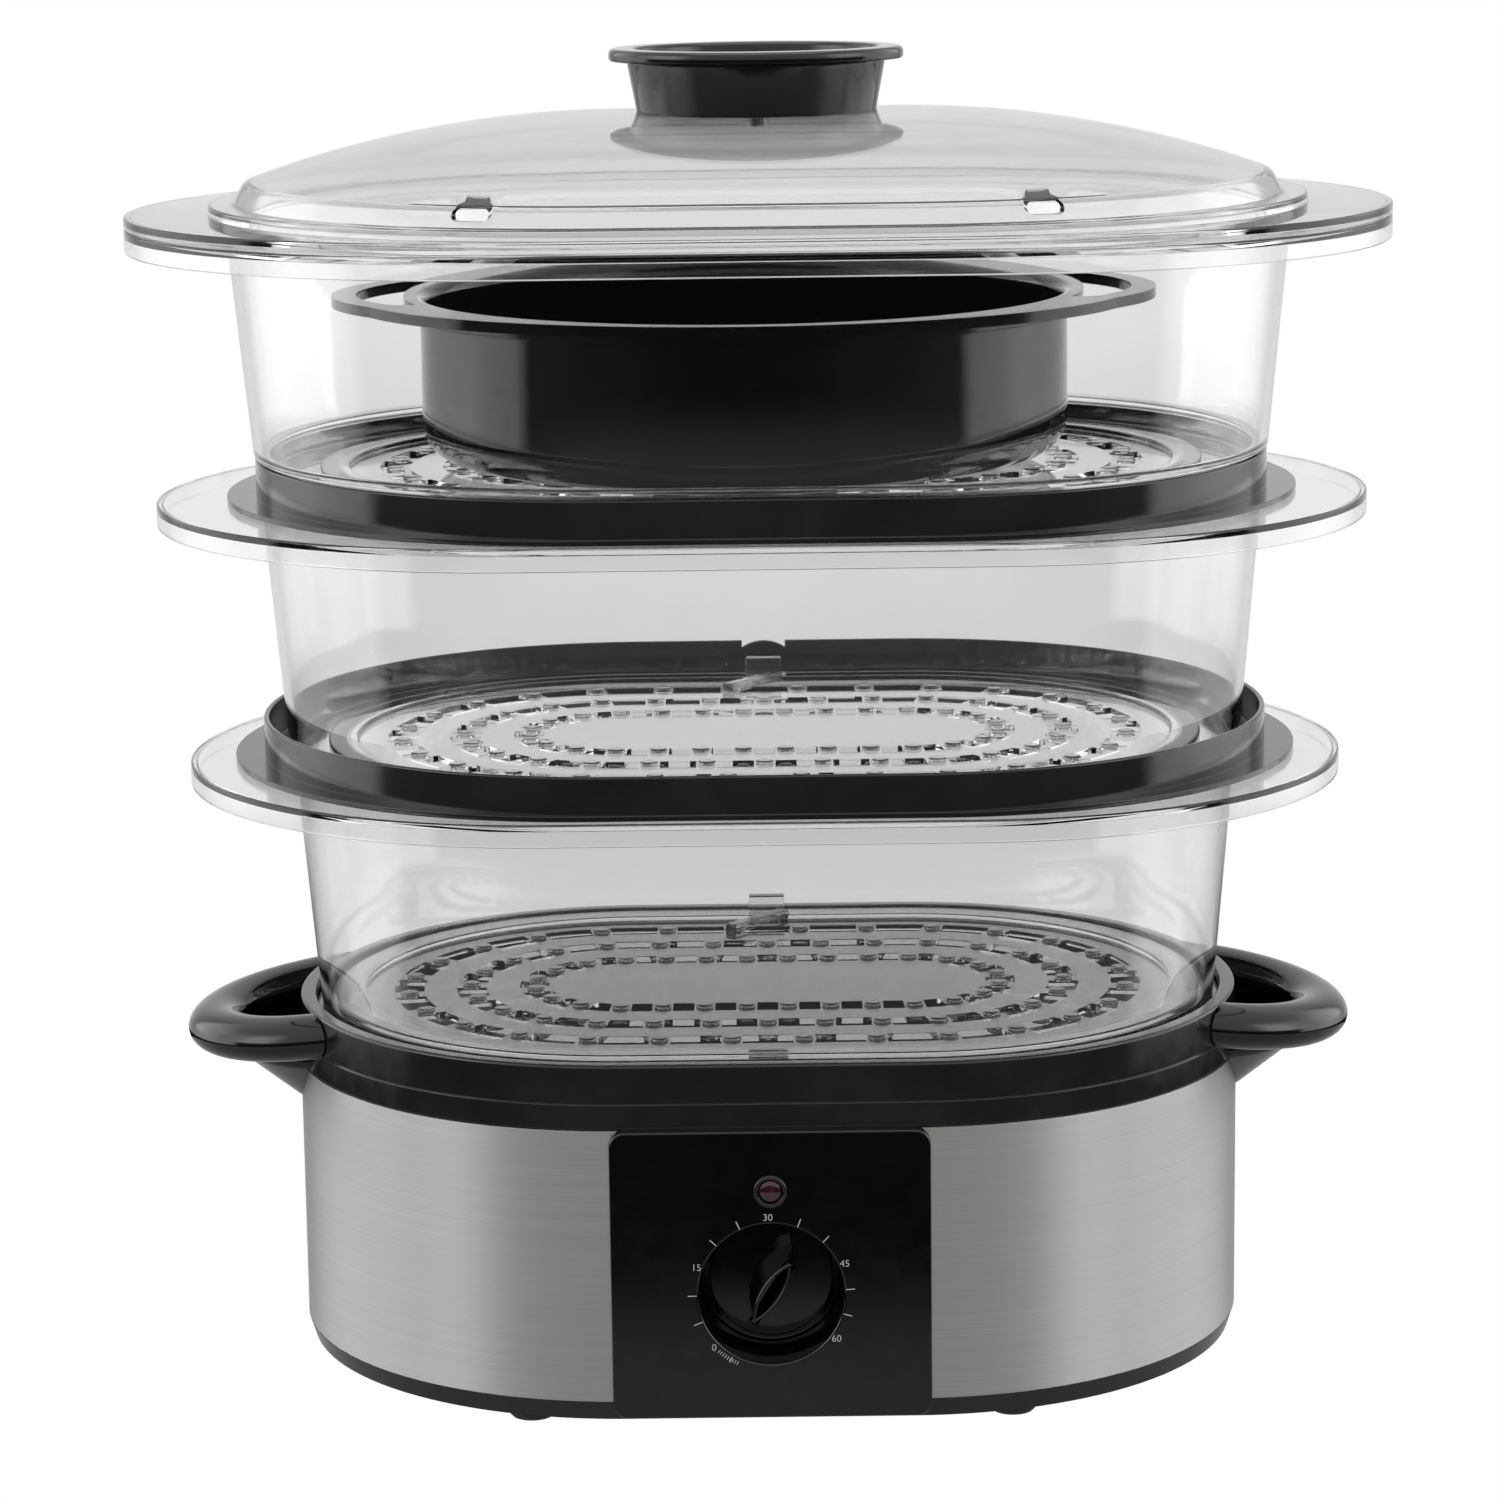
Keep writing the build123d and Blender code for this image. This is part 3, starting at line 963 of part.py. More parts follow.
# ---------------------------------------------------------------- joint rings between the tiers
def tier_ring(bottom):
    """A flat plate on the lower basket's flange, with a collar for the foot of the next basket."""
    top = bottom + RING_COLLAR_HEIGHT
    collar_inner = RING_COLLAR_RADIUS - RING_COLLAR_WALL
    oval_prism(RING_HALF_LENGTH, RING_HALF_DEPTH, bottom, bottom + RING_PLATE)
    oval_prism(HALF_STRAIGHT + RING_COLLAR_RADIUS, RING_COLLAR_RADIUS, bottom, top)
    oval_prism(
        HALF_STRAIGHT + collar_inner, collar_inner, bottom + RING_PLATE, top, mode=Mode.SUBTRACT
    )
    oval_prism(
        HALF_STRAIGHT + RING_OPENING_RADIUS,
        RING_OPENING_RADIUS,
        bottom,
        bottom + RING_PLATE,
        mode=Mode.SUBTRACT,
    )
    # notch in the middle of the back, with a half-round tab standing in it
    with BuildSketch(Plane.XZ.offset(-RING_COLLAR_RADIUS)) as notch:
        with Locations((0, top)):
            Rectangle(RING_NOTCH_WIDTH, 2 * RING_NOTCH_DEPTH)
        with Locations((0, top - RING_NOTCH_WIDTH / 2)):
            Circle(RING_NOTCH_WIDTH / 2, mode=Mode.SUBTRACT)
    extrude(notch.sketch, amount=2 * RING_COLLAR_WALL, both=True, mode=Mode.SUBTRACT)


with BuildPart() as joint_ring_1:
    tier_ring(RING_1_BOTTOM)

with BuildPart() as joint_ring_2:
    tier_ring(RING_2_BOTTOM)

# ---------------------------------------------------------------- rice bowl
with BuildPart() as rice_bowl:
    with BuildSketch(Plane.XZ) as bowl_section:
        with BuildLine():
            Polyline(
                (BOWL_X, BOWL_BOTTOM),
                (BOWL_X + BOWL_RADIUS, BOWL_BOTTOM),
                (BOWL_X + BOWL_RADIUS, BOWL_TOP - BOWL_FLANGE - BOWL_RIM_HEIGHT),
                (BOWL_X + BOWL_RIM_RADIUS, BOWL_TOP - BOWL_FLANGE - BOWL_RIM_HEIGHT),
                (BOWL_X + BOWL_RIM_RADIUS, BOWL_TOP),
                (BOWL_X + BOWL_RADIUS - BOWL_WALL, BOWL_TOP),
                (BOWL_X + BOWL_RADIUS - BOWL_WALL, BOWL_BOTTOM + BOWL_WALL),
                (BOWL_X, BOWL_BOTTOM + BOWL_WALL),
                close=True,
            )
        make_face()
        fillet(bowl_section.vertices().group_by(Axis.Y)[0].sort_by(Axis.X)[-1], BOWL_CORNER)
        fillet(bowl_section.vertices().group_by(Axis.Y)[1].sort_by(Axis.X)[-1], BOWL_CORNER - BOWL_WALL)
        fillet(bowl_section.vertices().group_by(Axis.Y)[-1].sort_by(Axis.X)[0], BOWL_MOUTH_ROUND)
    revolve(axis=Axis((BOWL_X, 0, 0), (0, 0, 1)))
    with BuildSketch(Plane.XY.offset(BOWL_TOP - BOWL_FLANGE)):
        with Locations((BOWL_X, 0)):
            Ellipse(BOWL_FLANGE_REACH, BOWL_FLANGE_HALF_DEPTH)
            Ellipse(BOWL_LOOP_REACH, BOWL_LOOP_HALF_DEPTH)
            Circle((BOWL_RADIUS - BOWL_WALL + BOWL_MOUTH_ROUND + BOWL_RIM_RADIUS) / 2, mode=Mode.SUBTRACT)
    extrude(amount=BOWL_FLANGE)
    with BuildSketch(Plane.XY.offset(BOWL_TOP - BOWL_FLANGE)) as finger_holes:
        with Locations((BOWL_X, 0)):
            Ellipse(BOWL_LOOP_REACH - BOWL_LOOP_WIDTH, BOWL_LOOP_HALF_DEPTH - BOWL_LOOP_WIDTH)
            Circle(BOWL_HOLE_RADIUS, mode=Mode.SUBTRACT)
            Rectangle(2 * BOWL_LOOP_REACH, 2 * BOWL_HOLE_HALF_DEPTH, mode=Mode.INTERSECT)
        fillet(finger_holes.vertices(), BOWL_HOLE_CORNER)
    extrude(amount=BOWL_FLANGE, mode=Mode.SUBTRACT)
    with BuildSketch(Plane.XY.offset(BOWL_FOOT_BOTTOM)):
        with Locations((BOWL_X, 0)):
            with GridLocations(2 * BOWL_FOOT_X, 2 * BOWL_FOOT_Y, 2, 2):
                Rectangle(BOWL_FOOT_LENGTH, BOWL_FOOT_WIDTH)
    extrude(amount=BOWL_FOOT_HEIGHT + BOWL_WALL / 2)


# ---------------------------------------------------------------- lid
def crown_section(radius_cut, crest_cut):
    """Half section of the domed crown, brought in by a wall on its shoulder and on its crest."""
    edge_radius = LID_CROWN_RADIUS - radius_cut
    shoulder_radius = LID_SHOULDER_RADIUS - radius_cut
    sphere = CROWN_SPHERE - crest_cut
    centre = LID_CREST - CROWN_SPHERE
    middle_radius = edge_radius / 2
    with BuildSketch(Plane.YZ) as section:
        with BuildLine():
            Polyline((0, LID_PLATE_TOP - CLEAR_WALL), (shoulder_radius, LID_PLATE_TOP - CLEAR_WALL))
            Line((shoulder_radius, LID_PLATE_TOP - CLEAR_WALL), (shoulder_radius, LID_STEP_TOP - crest_cut))
            edge = (edge_radius, centre + (sphere**2 - edge_radius**2) ** 0.5)
            Line((shoulder_radius, LID_STEP_TOP - crest_cut), edge)
            middle = (middle_radius, centre + (sphere**2 - middle_radius**2) ** 0.5)
            ThreePointArc(edge, middle, (0, centre + sphere))
            Line((0, centre + sphere), (0, LID_PLATE_TOP - CLEAR_WALL))
        make_face()
    return section.sketch


vent_angle = atan2(-((LID_SHOULDER_RADIUS**2 - (VENT_X - HALF_STRAIGHT) ** 2) ** 0.5), VENT_X - HALF_STRAIGHT)

with BuildPart() as lid_dome:
    end_flange(
        FLANGE_3_HALF_LENGTH,
        FLANGE_3_HALF_DEPTH,
        LID_SKIRT_HEIGHT,
        LID_PLATE_TOP,
        LID_SHOULDER_RADIUS - CLEAR_WALL,
    )
    oval_prism(LID_STEP_HALF_LENGTH, LID_STEP_HALF_DEPTH, LID_PLATE_TOP, LID_STEP_TOP)
    oval_body(crown_section(0, 0))
    oval_body(crown_section(CLEAR_WALL, CLEAR_WALL), mode=Mode.SUBTRACT)
    for side in (-1, 1):
        outward = (side * cos(vent_angle), sin(vent_angle), 0)
        vent_plane = Plane(
            origin=(
                side * HALF_STRAIGHT + LID_SHOULDER_RADIUS * outward[0],
                LID_SHOULDER_RADIUS * outward[1],
                LID_SHOULDER_TOP - VENT_HEIGHT / 2,
            ),
            x_dir=(-outward[1], outward[0], 0),
            z_dir=outward,
        )
        with BuildSketch(vent_plane):
            SlotOverall(VENT_LENGTH, VENT_HEIGHT)
        extrude(amount=2 * (LID_SHOULDER_RADIUS - LID_CROWN_RADIUS + CLEAR_WALL), both=True, mode=Mode.SUBTRACT)
    with Locations((0, 0, LID_CREST)):
        Cylinder(LID_SCREW_RADIUS, 3 * CLEAR_WALL, mode=Mode.SUBTRACT)

with BuildPart() as crown_block:
    oval_body(crown_section(0, 0))

with BuildPart() as lid_handle:
    cup_bottom = LID_CREST - CLEAR_WALL
    cup_rim = cup_bottom + CUP_HEIGHT - CUP_RIM_HEIGHT
    with BuildSketch(Plane.XY.offset(cup_bottom)):
        Ellipse(CUP_BOTTOM_HALF_LENGTH, CUP_BOTTOM_HALF_DEPTH)
    with BuildSketch(Plane.XY.offset(cup_bottom + CUP_HEIGHT)):
        Ellipse(CUP_TOP_HALF_LENGTH, CUP_TOP_HALF_DEPTH)
    loft(ruled=True)
    with BuildSketch(Plane.XY.offset(cup_rim + CLEAR_WALL)):
        Ellipse(CUP_RIM_HALF_LENGTH, CUP_RIM_HALF_DEPTH)
    extrude(amount=CUP_RIM_HEIGHT)
    rim_edges = lid_handle.edges().group_by(Axis.Z)[-1]
    fillet(rim_edges, CUP_RIM_ROUND)
    with BuildSketch(Plane.XY.offset(LID_CREST + CUP_FLOOR_RISE)):
        Ellipse(CUP_BOTTOM_HALF_LENGTH - CUP_WALL, CUP_BOTTOM_HALF_DEPTH - CUP_WALL)
    with BuildSketch(Plane.XY.offset(cup_rim + CLEAR_WALL + CUP_RIM_HEIGHT)):
        Ellipse(CUP_TOP_HALF_LENGTH - CUP_WALL, CUP_TOP_HALF_DEPTH - CUP_WALL)
    loft(ruled=True, mode=Mode.SUBTRACT)
    with Locations((0, 0, LID_CREST)):
        Cylinder(CUP_BOSS_RADIUS, CUP_FLOOR_RISE + CUP_BOSS_HEIGHT, align=ON_FLOOR)
    add(crown_block.part, mode=Mode.SUBTRACT)
    with Locations((0, 0, LID_CREST - CLEAR_WALL - WASHER_GAP - WASHER_THICKNESS)):
        Cylinder(LID_SCREW_RADIUS, LID_SCREW_LENGTH, align=ON_FLOOR, mode=Mode.SUBTRACT)

with BuildPart() as lid_washer:
    ring_prism(
        WASHER_RADIUS,
        LID_SCREW_RADIUS,
        LID_CREST - CLEAR_WALL - WASHER_GAP - WASHER_THICKNESS,
        LID_CREST - CLEAR_WALL - WASHER_GAP,
    )

with BuildPart() as lid_screw:
    with Locations((0, 0, LID_CREST - CLEAR_WALL - WASHER_GAP - WASHER_THICKNESS)):
        Cylinder(LID_SCREW_RADIUS, LID_SCREW_LENGTH, align=ON_FLOOR)
        Cylinder(LID_SCREW_HEAD_RADIUS, LID_SCREW_HEAD_HEIGHT, align=UNDER_TOP)

# ---------------------------------------------------------------- hand over every piece
pieces = {
    "bottom_plate": bottom_plate,
    "feet": feet,
    "bottom_screws": bottom_screws,
    "steel_band": steel_band,
    "water_tank": water_tank,
    "left_handle": handles[-1],
    "right_handle": handles[1],
    "left_spout": spouts[-1],
    "right_spout": spouts[1],
    "handle_screws": handle_screws,
    "control_panel": control_panel,
    "indicator_bezel": indicator_bezel,
    "indicator_lens": indicator_lens,
    "indicator_bulb": indicator_bulb,
    "timer_body": timer_body,
    "timer_screws": timer_screws,
    "timer_bell": timer_bell,
    "timer_knob": timer_knob,
    "timer_spindle": timer_spindle,
    "heater_plate": heater_plate,
    "heater_seal": heater_seal,
    "heating_element": heating_element,
    "heater_clamp": heater_clamp,
    "clamp_screws": clamp_screws,
    "thermostat": thermostat,
    "thermal_fuse": thermal_fuse,
    "steam_ring": steam_ring,
    "terminal_block": terminal_block,
    "cord_gland": cord_gland,
    "drip_tray": drip_tray,
    "basket_1": basket_1,
    "basket_2": basket_2,
    "basket_3": basket_3,
    "floor_1": floor_1,
    "floor_2": floor_2,
    "floor_3": floor_3,
    "joint_ring_1": joint_ring_1,
    "joint_ring_2": joint_ring_2,
    "rice_bowl": rice_bowl,
    "lid_dome": lid_dome,
    "lid_handle": lid_handle,
    "lid_washer": lid_washer,
    "lid_screw": lid_screw,
}
for label, piece in pieces.items():
    piece.part.label = label
    export_step(piece.part, f"parts/{label}.step")
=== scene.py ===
import json
import math

import bpy
from mathutils import Matrix, Vector


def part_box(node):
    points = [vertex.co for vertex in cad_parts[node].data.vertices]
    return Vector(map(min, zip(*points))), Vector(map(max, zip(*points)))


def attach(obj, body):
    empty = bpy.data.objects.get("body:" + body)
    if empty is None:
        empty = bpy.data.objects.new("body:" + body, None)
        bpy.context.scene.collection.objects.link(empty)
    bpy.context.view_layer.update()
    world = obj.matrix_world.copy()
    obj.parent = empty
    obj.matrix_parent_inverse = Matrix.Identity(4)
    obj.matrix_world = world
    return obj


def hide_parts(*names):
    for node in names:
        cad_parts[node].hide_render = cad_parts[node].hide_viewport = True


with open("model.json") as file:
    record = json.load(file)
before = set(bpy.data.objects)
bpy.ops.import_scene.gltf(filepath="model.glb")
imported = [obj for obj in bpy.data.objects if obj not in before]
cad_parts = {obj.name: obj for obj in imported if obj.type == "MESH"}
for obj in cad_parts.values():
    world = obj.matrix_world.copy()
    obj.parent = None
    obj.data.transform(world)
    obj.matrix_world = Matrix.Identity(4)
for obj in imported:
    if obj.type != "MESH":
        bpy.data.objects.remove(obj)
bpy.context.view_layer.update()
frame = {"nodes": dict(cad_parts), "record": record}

bl_info = {
    "name": "Three-Tier Food Steamer",
    "version": (1, 0, 0),
    "blender": (4, 5, 0),
    "location": "View3D > Sidebar > Steamer",
    "description": "Models an electric food steamer piece by piece over its CAD frame",
    "category": "Object",
}

MM = 0.001
HALF_TURN_STEPS = 48  # faces round each rounded end
ROUND_STEPS = 3  # faces across a rounded corner
NODES = frame["nodes"]
BODY_OF = {name: body for body, names in frame["record"]["behaviour"]["bodies"].items() for name in names}


def low(node, axis=2):
    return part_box(node)[0][axis] / MM


def high(node, axis=2):
    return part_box(node)[1][axis] / MM


# ------------------------------------------------------------------ sizes and colours a user can change
def length(name, description, default, smallest=0.1, largest=400.0):
    return bpy.props.FloatProperty(
        name=name,
        description=description,
        default=default * MM,
        min=smallest * MM,
        max=largest * MM,
        unit="LENGTH",
        subtype="DISTANCE",
        precision=4,
    )


def colour(name, description, default):
    return bpy.props.FloatVectorProperty(
        name=name, description=description, default=default, size=3, min=0.0, max=1.0, subtype="COLOR"
    )


class SteamerSizes(bpy.types.PropertyGroup):
    half_straight: length("Half straight side", "Half the length of the straight sides of every tier", 40.0)
    base_radius: length("Base end radius", "Radius of the rounded ends of the steel band", high("steel_band", 1))
    band_wall: length("Band wall", "Thickness of the steel band", 0.8)
    clear_wall: length("Clear wall", "Wall of the baskets and the lid", 2.0)
    ring_wall: length("Ring wall", "Plate and collar of the joint rings", 1.6)
    soft_edge: length("Soft edge", "Rounding of the moulded edges", 0.45)
    steel_edge: length("Steel edge", "Rounding of the sheet edges of the band", 0.2)
    slot_width: length("Slot width", "Width of the steam slots in the floors", 8.7)
    number_height: length("Number height", "Height of the numbers on the dial", 2.0)
    bridges: bpy.props.IntProperty(
        name="Bridges", description="Bridges across each ring of slots", default=28, min=8, max=60
    )


class SteamerColours(bpy.types.PropertyGroup):
    steel: colour("Brushed steel", "Colour of the steel band", (0.45, 0.448, 0.441))
    black: colour("Black plastic", "Colour of the black mouldings", (0.0032, 0.0032, 0.0034))
    clear: colour("Clear plastic", "Tint of the baskets, floors and lid", (0.965, 0.967, 0.97))
    lens: colour("Lamp lens", "Colour of the indicator lens", (0.030, 0.005, 0.008))
    print: colour("Dial print", "Colour of the numbers and ticks on the dial", (0.42, 0.42, 0.42))
    aluminium: colour("Aluminium", "Colour of the heater plate", (0.72, 0.72, 0.71))
    brass: colour("Brass", "Colour of the timer's bell", (0.62, 0.44, 0.18))


def sizes():
    return bpy.context.scene.steamer_sizes


def colours():
    return bpy.context.scene.steamer_colours


# ------------------------------------------------------------------ bench work shared by the pieces
def start_clean():
    """Leaves every object unselected and Blender in object mode."""
    if bpy.context.object and bpy.context.object.mode != "OBJECT":
        bpy.ops.object.mode_set(mode="OBJECT")
    bpy.ops.object.select_all(action="DESELECT")


def take(*pieces):
    """Selects only these pieces; the first is the active one."""
    start_clean()
    for piece in pieces:
        piece.select_set(True)
    bpy.context.view_layer.objects.active = pieces[0]


def added(name):
    piece = bpy.context.object
    piece.name = piece.data.name = name
    return piece


def edit(piece, select="VERT"):
    take(piece)
    bpy.ops.object.mode_set(mode="EDIT")
    bpy.ops.mesh.select_mode(type=select)


def done():
    bpy.ops.object.mode_set(mode="OBJECT")


def pick(piece, test):
    """Selects the points that pass a test of their place, and the edges and faces between them."""
    edit(piece)
    bpy.ops.mesh.select_all(action="DESELECT")
    done()
    for point in piece.data.vertices:
        point.select = bool(test(point.co))
    count = sum(point.select for point in piece.data.vertices)
    if not count:
        raise RuntimeError(f"{piece.name}: nothing picked")
    bpy.ops.object.mode_set(mode="EDIT")
    bpy.ops.mesh.select_mode(type="VERT")
    return count


def pick_edges(piece, test):
    """Selects the edges whose two ends pass a test."""
    edit(piece, "EDGE")
    bpy.ops.mesh.select_all(action="DESELECT")
    done()
    points = piece.data.vertices
    count = 0
    for line in piece.data.edges:
        line.select = bool(test(points[line.vertices[0]].co, points[line.vertices[1]].co))
        count += line.select
    if not count:
        raise RuntimeError(f"{piece.name}: no edge picked")
    bpy.ops.object.mode_set(mode="EDIT")
    bpy.ops.mesh.select_mode(type="EDGE")
    return count


def trace(name, places, closed):
    """Draws a section point by point, starting from a plate merged to one point. Places are in metres."""
    start_clean()
    bpy.ops.mesh.primitive_plane_add(size=MM, location=(0, 0, 0))
    piece = added(name)
    edit(piece)
    bpy.ops.mesh.select_all(action="SELECT")
    bpy.ops.mesh.merge(type="CENTER")
    bpy.ops.mesh.select_all(action="SELECT")
    bpy.ops.transform.translate(value=places[0])
    for here, there in zip(places, places[1:]):
        step = [b - a for a, b in zip(here, there)]
        bpy.ops.mesh.extrude_vertices_move(TRANSFORM_OT_translate={"value": step})
    if closed:
        ends = [Vector(places[0]), Vector(places[-1])]
        pick(piece, lambda co: min((co - end).length for end in ends) < 1e-6)
        bpy.ops.mesh.edge_face_add()
    done()
    return piece


def round_corners(piece, corners):
    """Rounds the traced corners; corners is a list of (place, radius) in metres."""
    for radius in sorted({radius for _, radius in corners if radius}):
        places = [Vector(place) for place, r in corners if r == radius]
        pick(piece, lambda co: min((co - place).length for place in places) < 1e-6)
        steps = ROUND_STEPS if radius < 2 * MM else 3 * ROUND_STEPS
        bpy.ops.mesh.bevel(offset=radius, segments=steps, affect="VERTICES")
        done()


def tidy(piece, nearest=0.002 * MM):
    """Closes seams and poles and turns the faces outwards."""
    edit(piece)
    bpy.ops.mesh.select_all(action="SELECT")
    bpy.ops.mesh.remove_doubles(threshold=nearest)
    bpy.ops.mesh.select_all(action="SELECT")
    bpy.ops.mesh.normals_make_consistent(inside=False)
    done()
    return piece


def run_round(name, section, half_straight, closed=True):
    """Runs a section round an oval: one end, the straight back, the other end, the straight front.
    The section is a list of (radius, height) or (radius, height, rounding) in millimetres."""
    half = half_straight * MM
    places = [(half, -corner[0] * MM, corner[1] * MM) for corner in section]
    piece = trace(name, places, closed)
    round_corners(
        piece, [(place, corner[2] * MM) for place, corner in zip(places, section) if len(corner) > 2]
    )
    edit(piece)
    bpy.ops.mesh.select_all(action="SELECT")
    for side in (1, -1):
        bpy.ops.mesh.spin(steps=HALF_TURN_STEPS, angle=-math.pi, center=(side * half, 0, 0), axis=(0, 0, 1))
        bpy.ops.mesh.extrude_region_move(TRANSFORM_OT_translate={"value": (-2 * side * half, 0, 0)})
    done()
    return tidy(piece)


def lathe(name, section, centre, axis="Z", steps=96, closed=False):
    """Turns a section of (radius, rise, rounding) round an axis through the centre. Along Z the rise
    goes up; along Y it goes to the back. All in millimetres."""
    cx, cy, cz = centre
    if axis == "Z":
        places = [((cx + r[0]) * MM, cy * MM, (cz + r[1]) * MM) for r in section]
        direction = (0, 0, 1)
    else:
        places = [((cx + r[0]) * MM, (cy + r[1]) * MM, cz * MM) for r in section]
        direction = (0, 1, 0)
    piece = trace(name, places, closed)
    round_corners(
        piece, [(place, corner[2] * MM) for place, corner in zip(places, section) if len(corner) > 2]
    )
    edit(piece)
    bpy.ops.mesh.select_all(action="SELECT")
    bpy.ops.mesh.spin(steps=steps, angle=2 * math.pi, center=[c * MM for c in centre], axis=direction)
    done()
    return tidy(piece)


def off_oval(co, half_straight):
    """How far a point is from the line between the centres of an oval's ends, in millimetres."""
    along = max(abs(co.x) / MM - half_straight, 0.0)
    return math.hypot(along, co.y / MM)


def bridge(piece, first, second):
    """Joins two loops that were run round ovals; each is (half straight side, radius, height).
    The first is lifted by a hair, because two loops in one plane have no side to start from."""
    lift = 0.01

    def on(co, loop, raised=0.0):
        return abs(co.z / MM - loop[2] - raised) < 0.004 and abs(off_oval(co, loop[0]) - loop[1]) < 0.01

    pick(piece, lambda co: on(co, first))
    bpy.ops.transform.translate(value=(0, 0, lift * MM))
    done()
    pick_edges(piece, lambda a, b: (on(a, first, lift) and on(b, first, lift)) or (on(a, second) and on(b, second)))
    bpy.ops.mesh.bridge_edge_loops()
    done()


def join(*pieces):
    take(*pieces)
    bpy.ops.object.join()
    return bpy.context.object


def cut(piece, cutter, operation="DIFFERENCE"):
    """Cuts a piece with another, which is used up."""
    take(piece)
    bpy.ops.object.modifier_add(type="BOOLEAN")
    modifier = piece.modifiers[-1]
    modifier.operation = operation
    modifier.object = cutter
    modifier.solver = "EXACT"
    bpy.ops.object.modifier_apply(modifier=modifier.name)
    bpy.data.objects.remove(cutter)
    return piece


def soften(piece, width, angle=40.0, segments=2):
    """Rounds the sharp edges that cutting left."""
    take(piece)
    bpy.ops.object.modifier_add(type="BEVEL")
    modifier = piece.modifiers[-1]
    modifier.width = width * MM
    modifier.segments = segments
    modifier.limit_method = "ANGLE"
    modifier.angle_limit = math.radians(angle)
    modifier.miter_outer = "MITER_ARC"
    modifier.use_clamp_overlap = True
    bpy.ops.object.modifier_apply(modifier=modifier.name)
    return tidy(piece, 0.008 * MM)


def smooth(piece, angle=50.0):
    """Smooth shading in which the large faces stay flat."""
    take(piece)
    bpy.ops.object.shade_smooth_by_angle(angle=math.radians(angle))
    bpy.ops.object.modifier_add(type="WEIGHTED_NORMAL")
    modifier = piece.modifiers[-1]
    modifier.keep_sharp = True
    bpy.ops.object.modifier_apply(modifier=modifier.name)
    return piece


def block(name, centre, size, turn=(0.0, 0.0, 0.0)):
    """A block of a size in millimetres, turned about its own middle in degrees."""
    start_clean()
    bpy.ops.mesh.primitive_cube_add(size=1.0, location=[c * MM for c in centre])
    piece = added(name)
    piece.scale = [s * MM for s in size]
    piece.rotation_euler = [math.radians(t) for t in turn]
    settle(piece)
    return piece


def settle(piece):
    """Puts a piece's place, turn and scale into its mesh."""
    take(piece)
    bpy.ops.object.transform_apply(location=True, rotation=True, scale=True)
    return piece


def oval_block(name, half_length, half_depth, bottom, top):
    """An upright oval block between two heights."""
    section = [(0.0, bottom), (half_depth, bottom), (half_depth, top), (0.0, top)]
    return run_round(name, section, half_length - half_depth, closed=False)


def hand_over(piece, material, slot, *nodes):
    """Gives a finished piece its material and its body, and hides the CAD nodes it stands for."""
    settle(piece)
    piece.data.materials.clear()
    piece.data.materials.append(material)
    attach(piece, BODY_OF[nodes[0]])
    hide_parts(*nodes)
    return piece


# ------------------------------------------------------------------ finishes
def add_node(tree, kind, *sources, **settings):
    """Adds a shader node; the sources fill its inputs in order, as sockets or numbers."""
    node = tree.nodes.new(kind)
    for setting, value in settings.items():
        setattr(node, setting, value)
    for socket, source in zip(node.inputs, sources):
        if isinstance(source, bpy.types.NodeSocket):
            tree.links.new(source, socket)
        elif source is not None:
            socket.default_value = source
    return node


class Finish:
    """A Principled material whose patterns read Object coordinates."""

    made = {}

    def __init__(self, name, **sockets):
        self.material = bpy.data.materials.new(name)
        self.material.use_nodes = True
        self.nodes = self.material.node_tree.nodes
        self.links = self.material.node_tree.links
        self.shader = self.nodes["Principled BSDF"]
        self.place = self.nodes.new("ShaderNodeTexCoord").outputs["Object"]
        for socket, value in sockets.items():
            self.shader.inputs[socket.replace("_", " ")].default_value = value
        Finish.made[name] = self.material

    def stretched(self, scale, turn=(0, 0, 0)):
        mapping = self.nodes.new("ShaderNodeMapping")
        mapping.inputs["Scale"].default_value = scale
        mapping.inputs["Rotation"].default_value = turn
        self.links.new(self.place, mapping.inputs["Vector"])
        return mapping.outputs["Vector"]

    def noise(self, scale, detail=2.0, vector=None, roughness=0.5):
        texture = self.nodes.new("ShaderNodeTexNoise")
        texture.inputs["Scale"].default_value = scale
        texture.inputs["Detail"].default_value = detail
        texture.inputs["Roughness"].default_value = roughness
        self.links.new(vector or self.place, texture.inputs["Vector"])
        return texture.outputs["Fac"]

    def ranged(self, value, low, high, start=0.3, end=0.7):
        node = self.nodes.new("ShaderNodeMapRange")
        for socket, number in (("From Min", start), ("From Max", end), ("To Min", low), ("To Max", high)):
            node.inputs[socket].default_value = number
        self.links.new(value, node.inputs["Value"])
        return node.outputs["Result"]

    def between(self, value, first, second):
        node = self.nodes.new("ShaderNodeMix")
        node.data_type = "RGBA"
        for socket, tone in (("A", first), ("B", second)):
            if isinstance(tone, bpy.types.NodeSocket):
                self.links.new(tone, node.inputs[socket])
            else:
                node.inputs[socket].default_value = (*tone, 1.0)
        self.links.new(value, node.inputs["Factor"])
        return node.outputs["Result"]

    def bump(self, height, strength, distance):
        node = self.nodes.new("ShaderNodeBump")
        node.inputs["Strength"].default_value = strength
        node.inputs["Distance"].default_value = distance
        self.links.new(height, node.inputs["Height"])
        self.links.new(node.outputs["Normal"], self.shader.inputs["Normal"])

    def set(self, socket, value):
        self.links.new(value, self.shader.inputs[socket])


def shade(tone, factor):
    return tuple(min(1.0, channel * factor) for channel in tone)


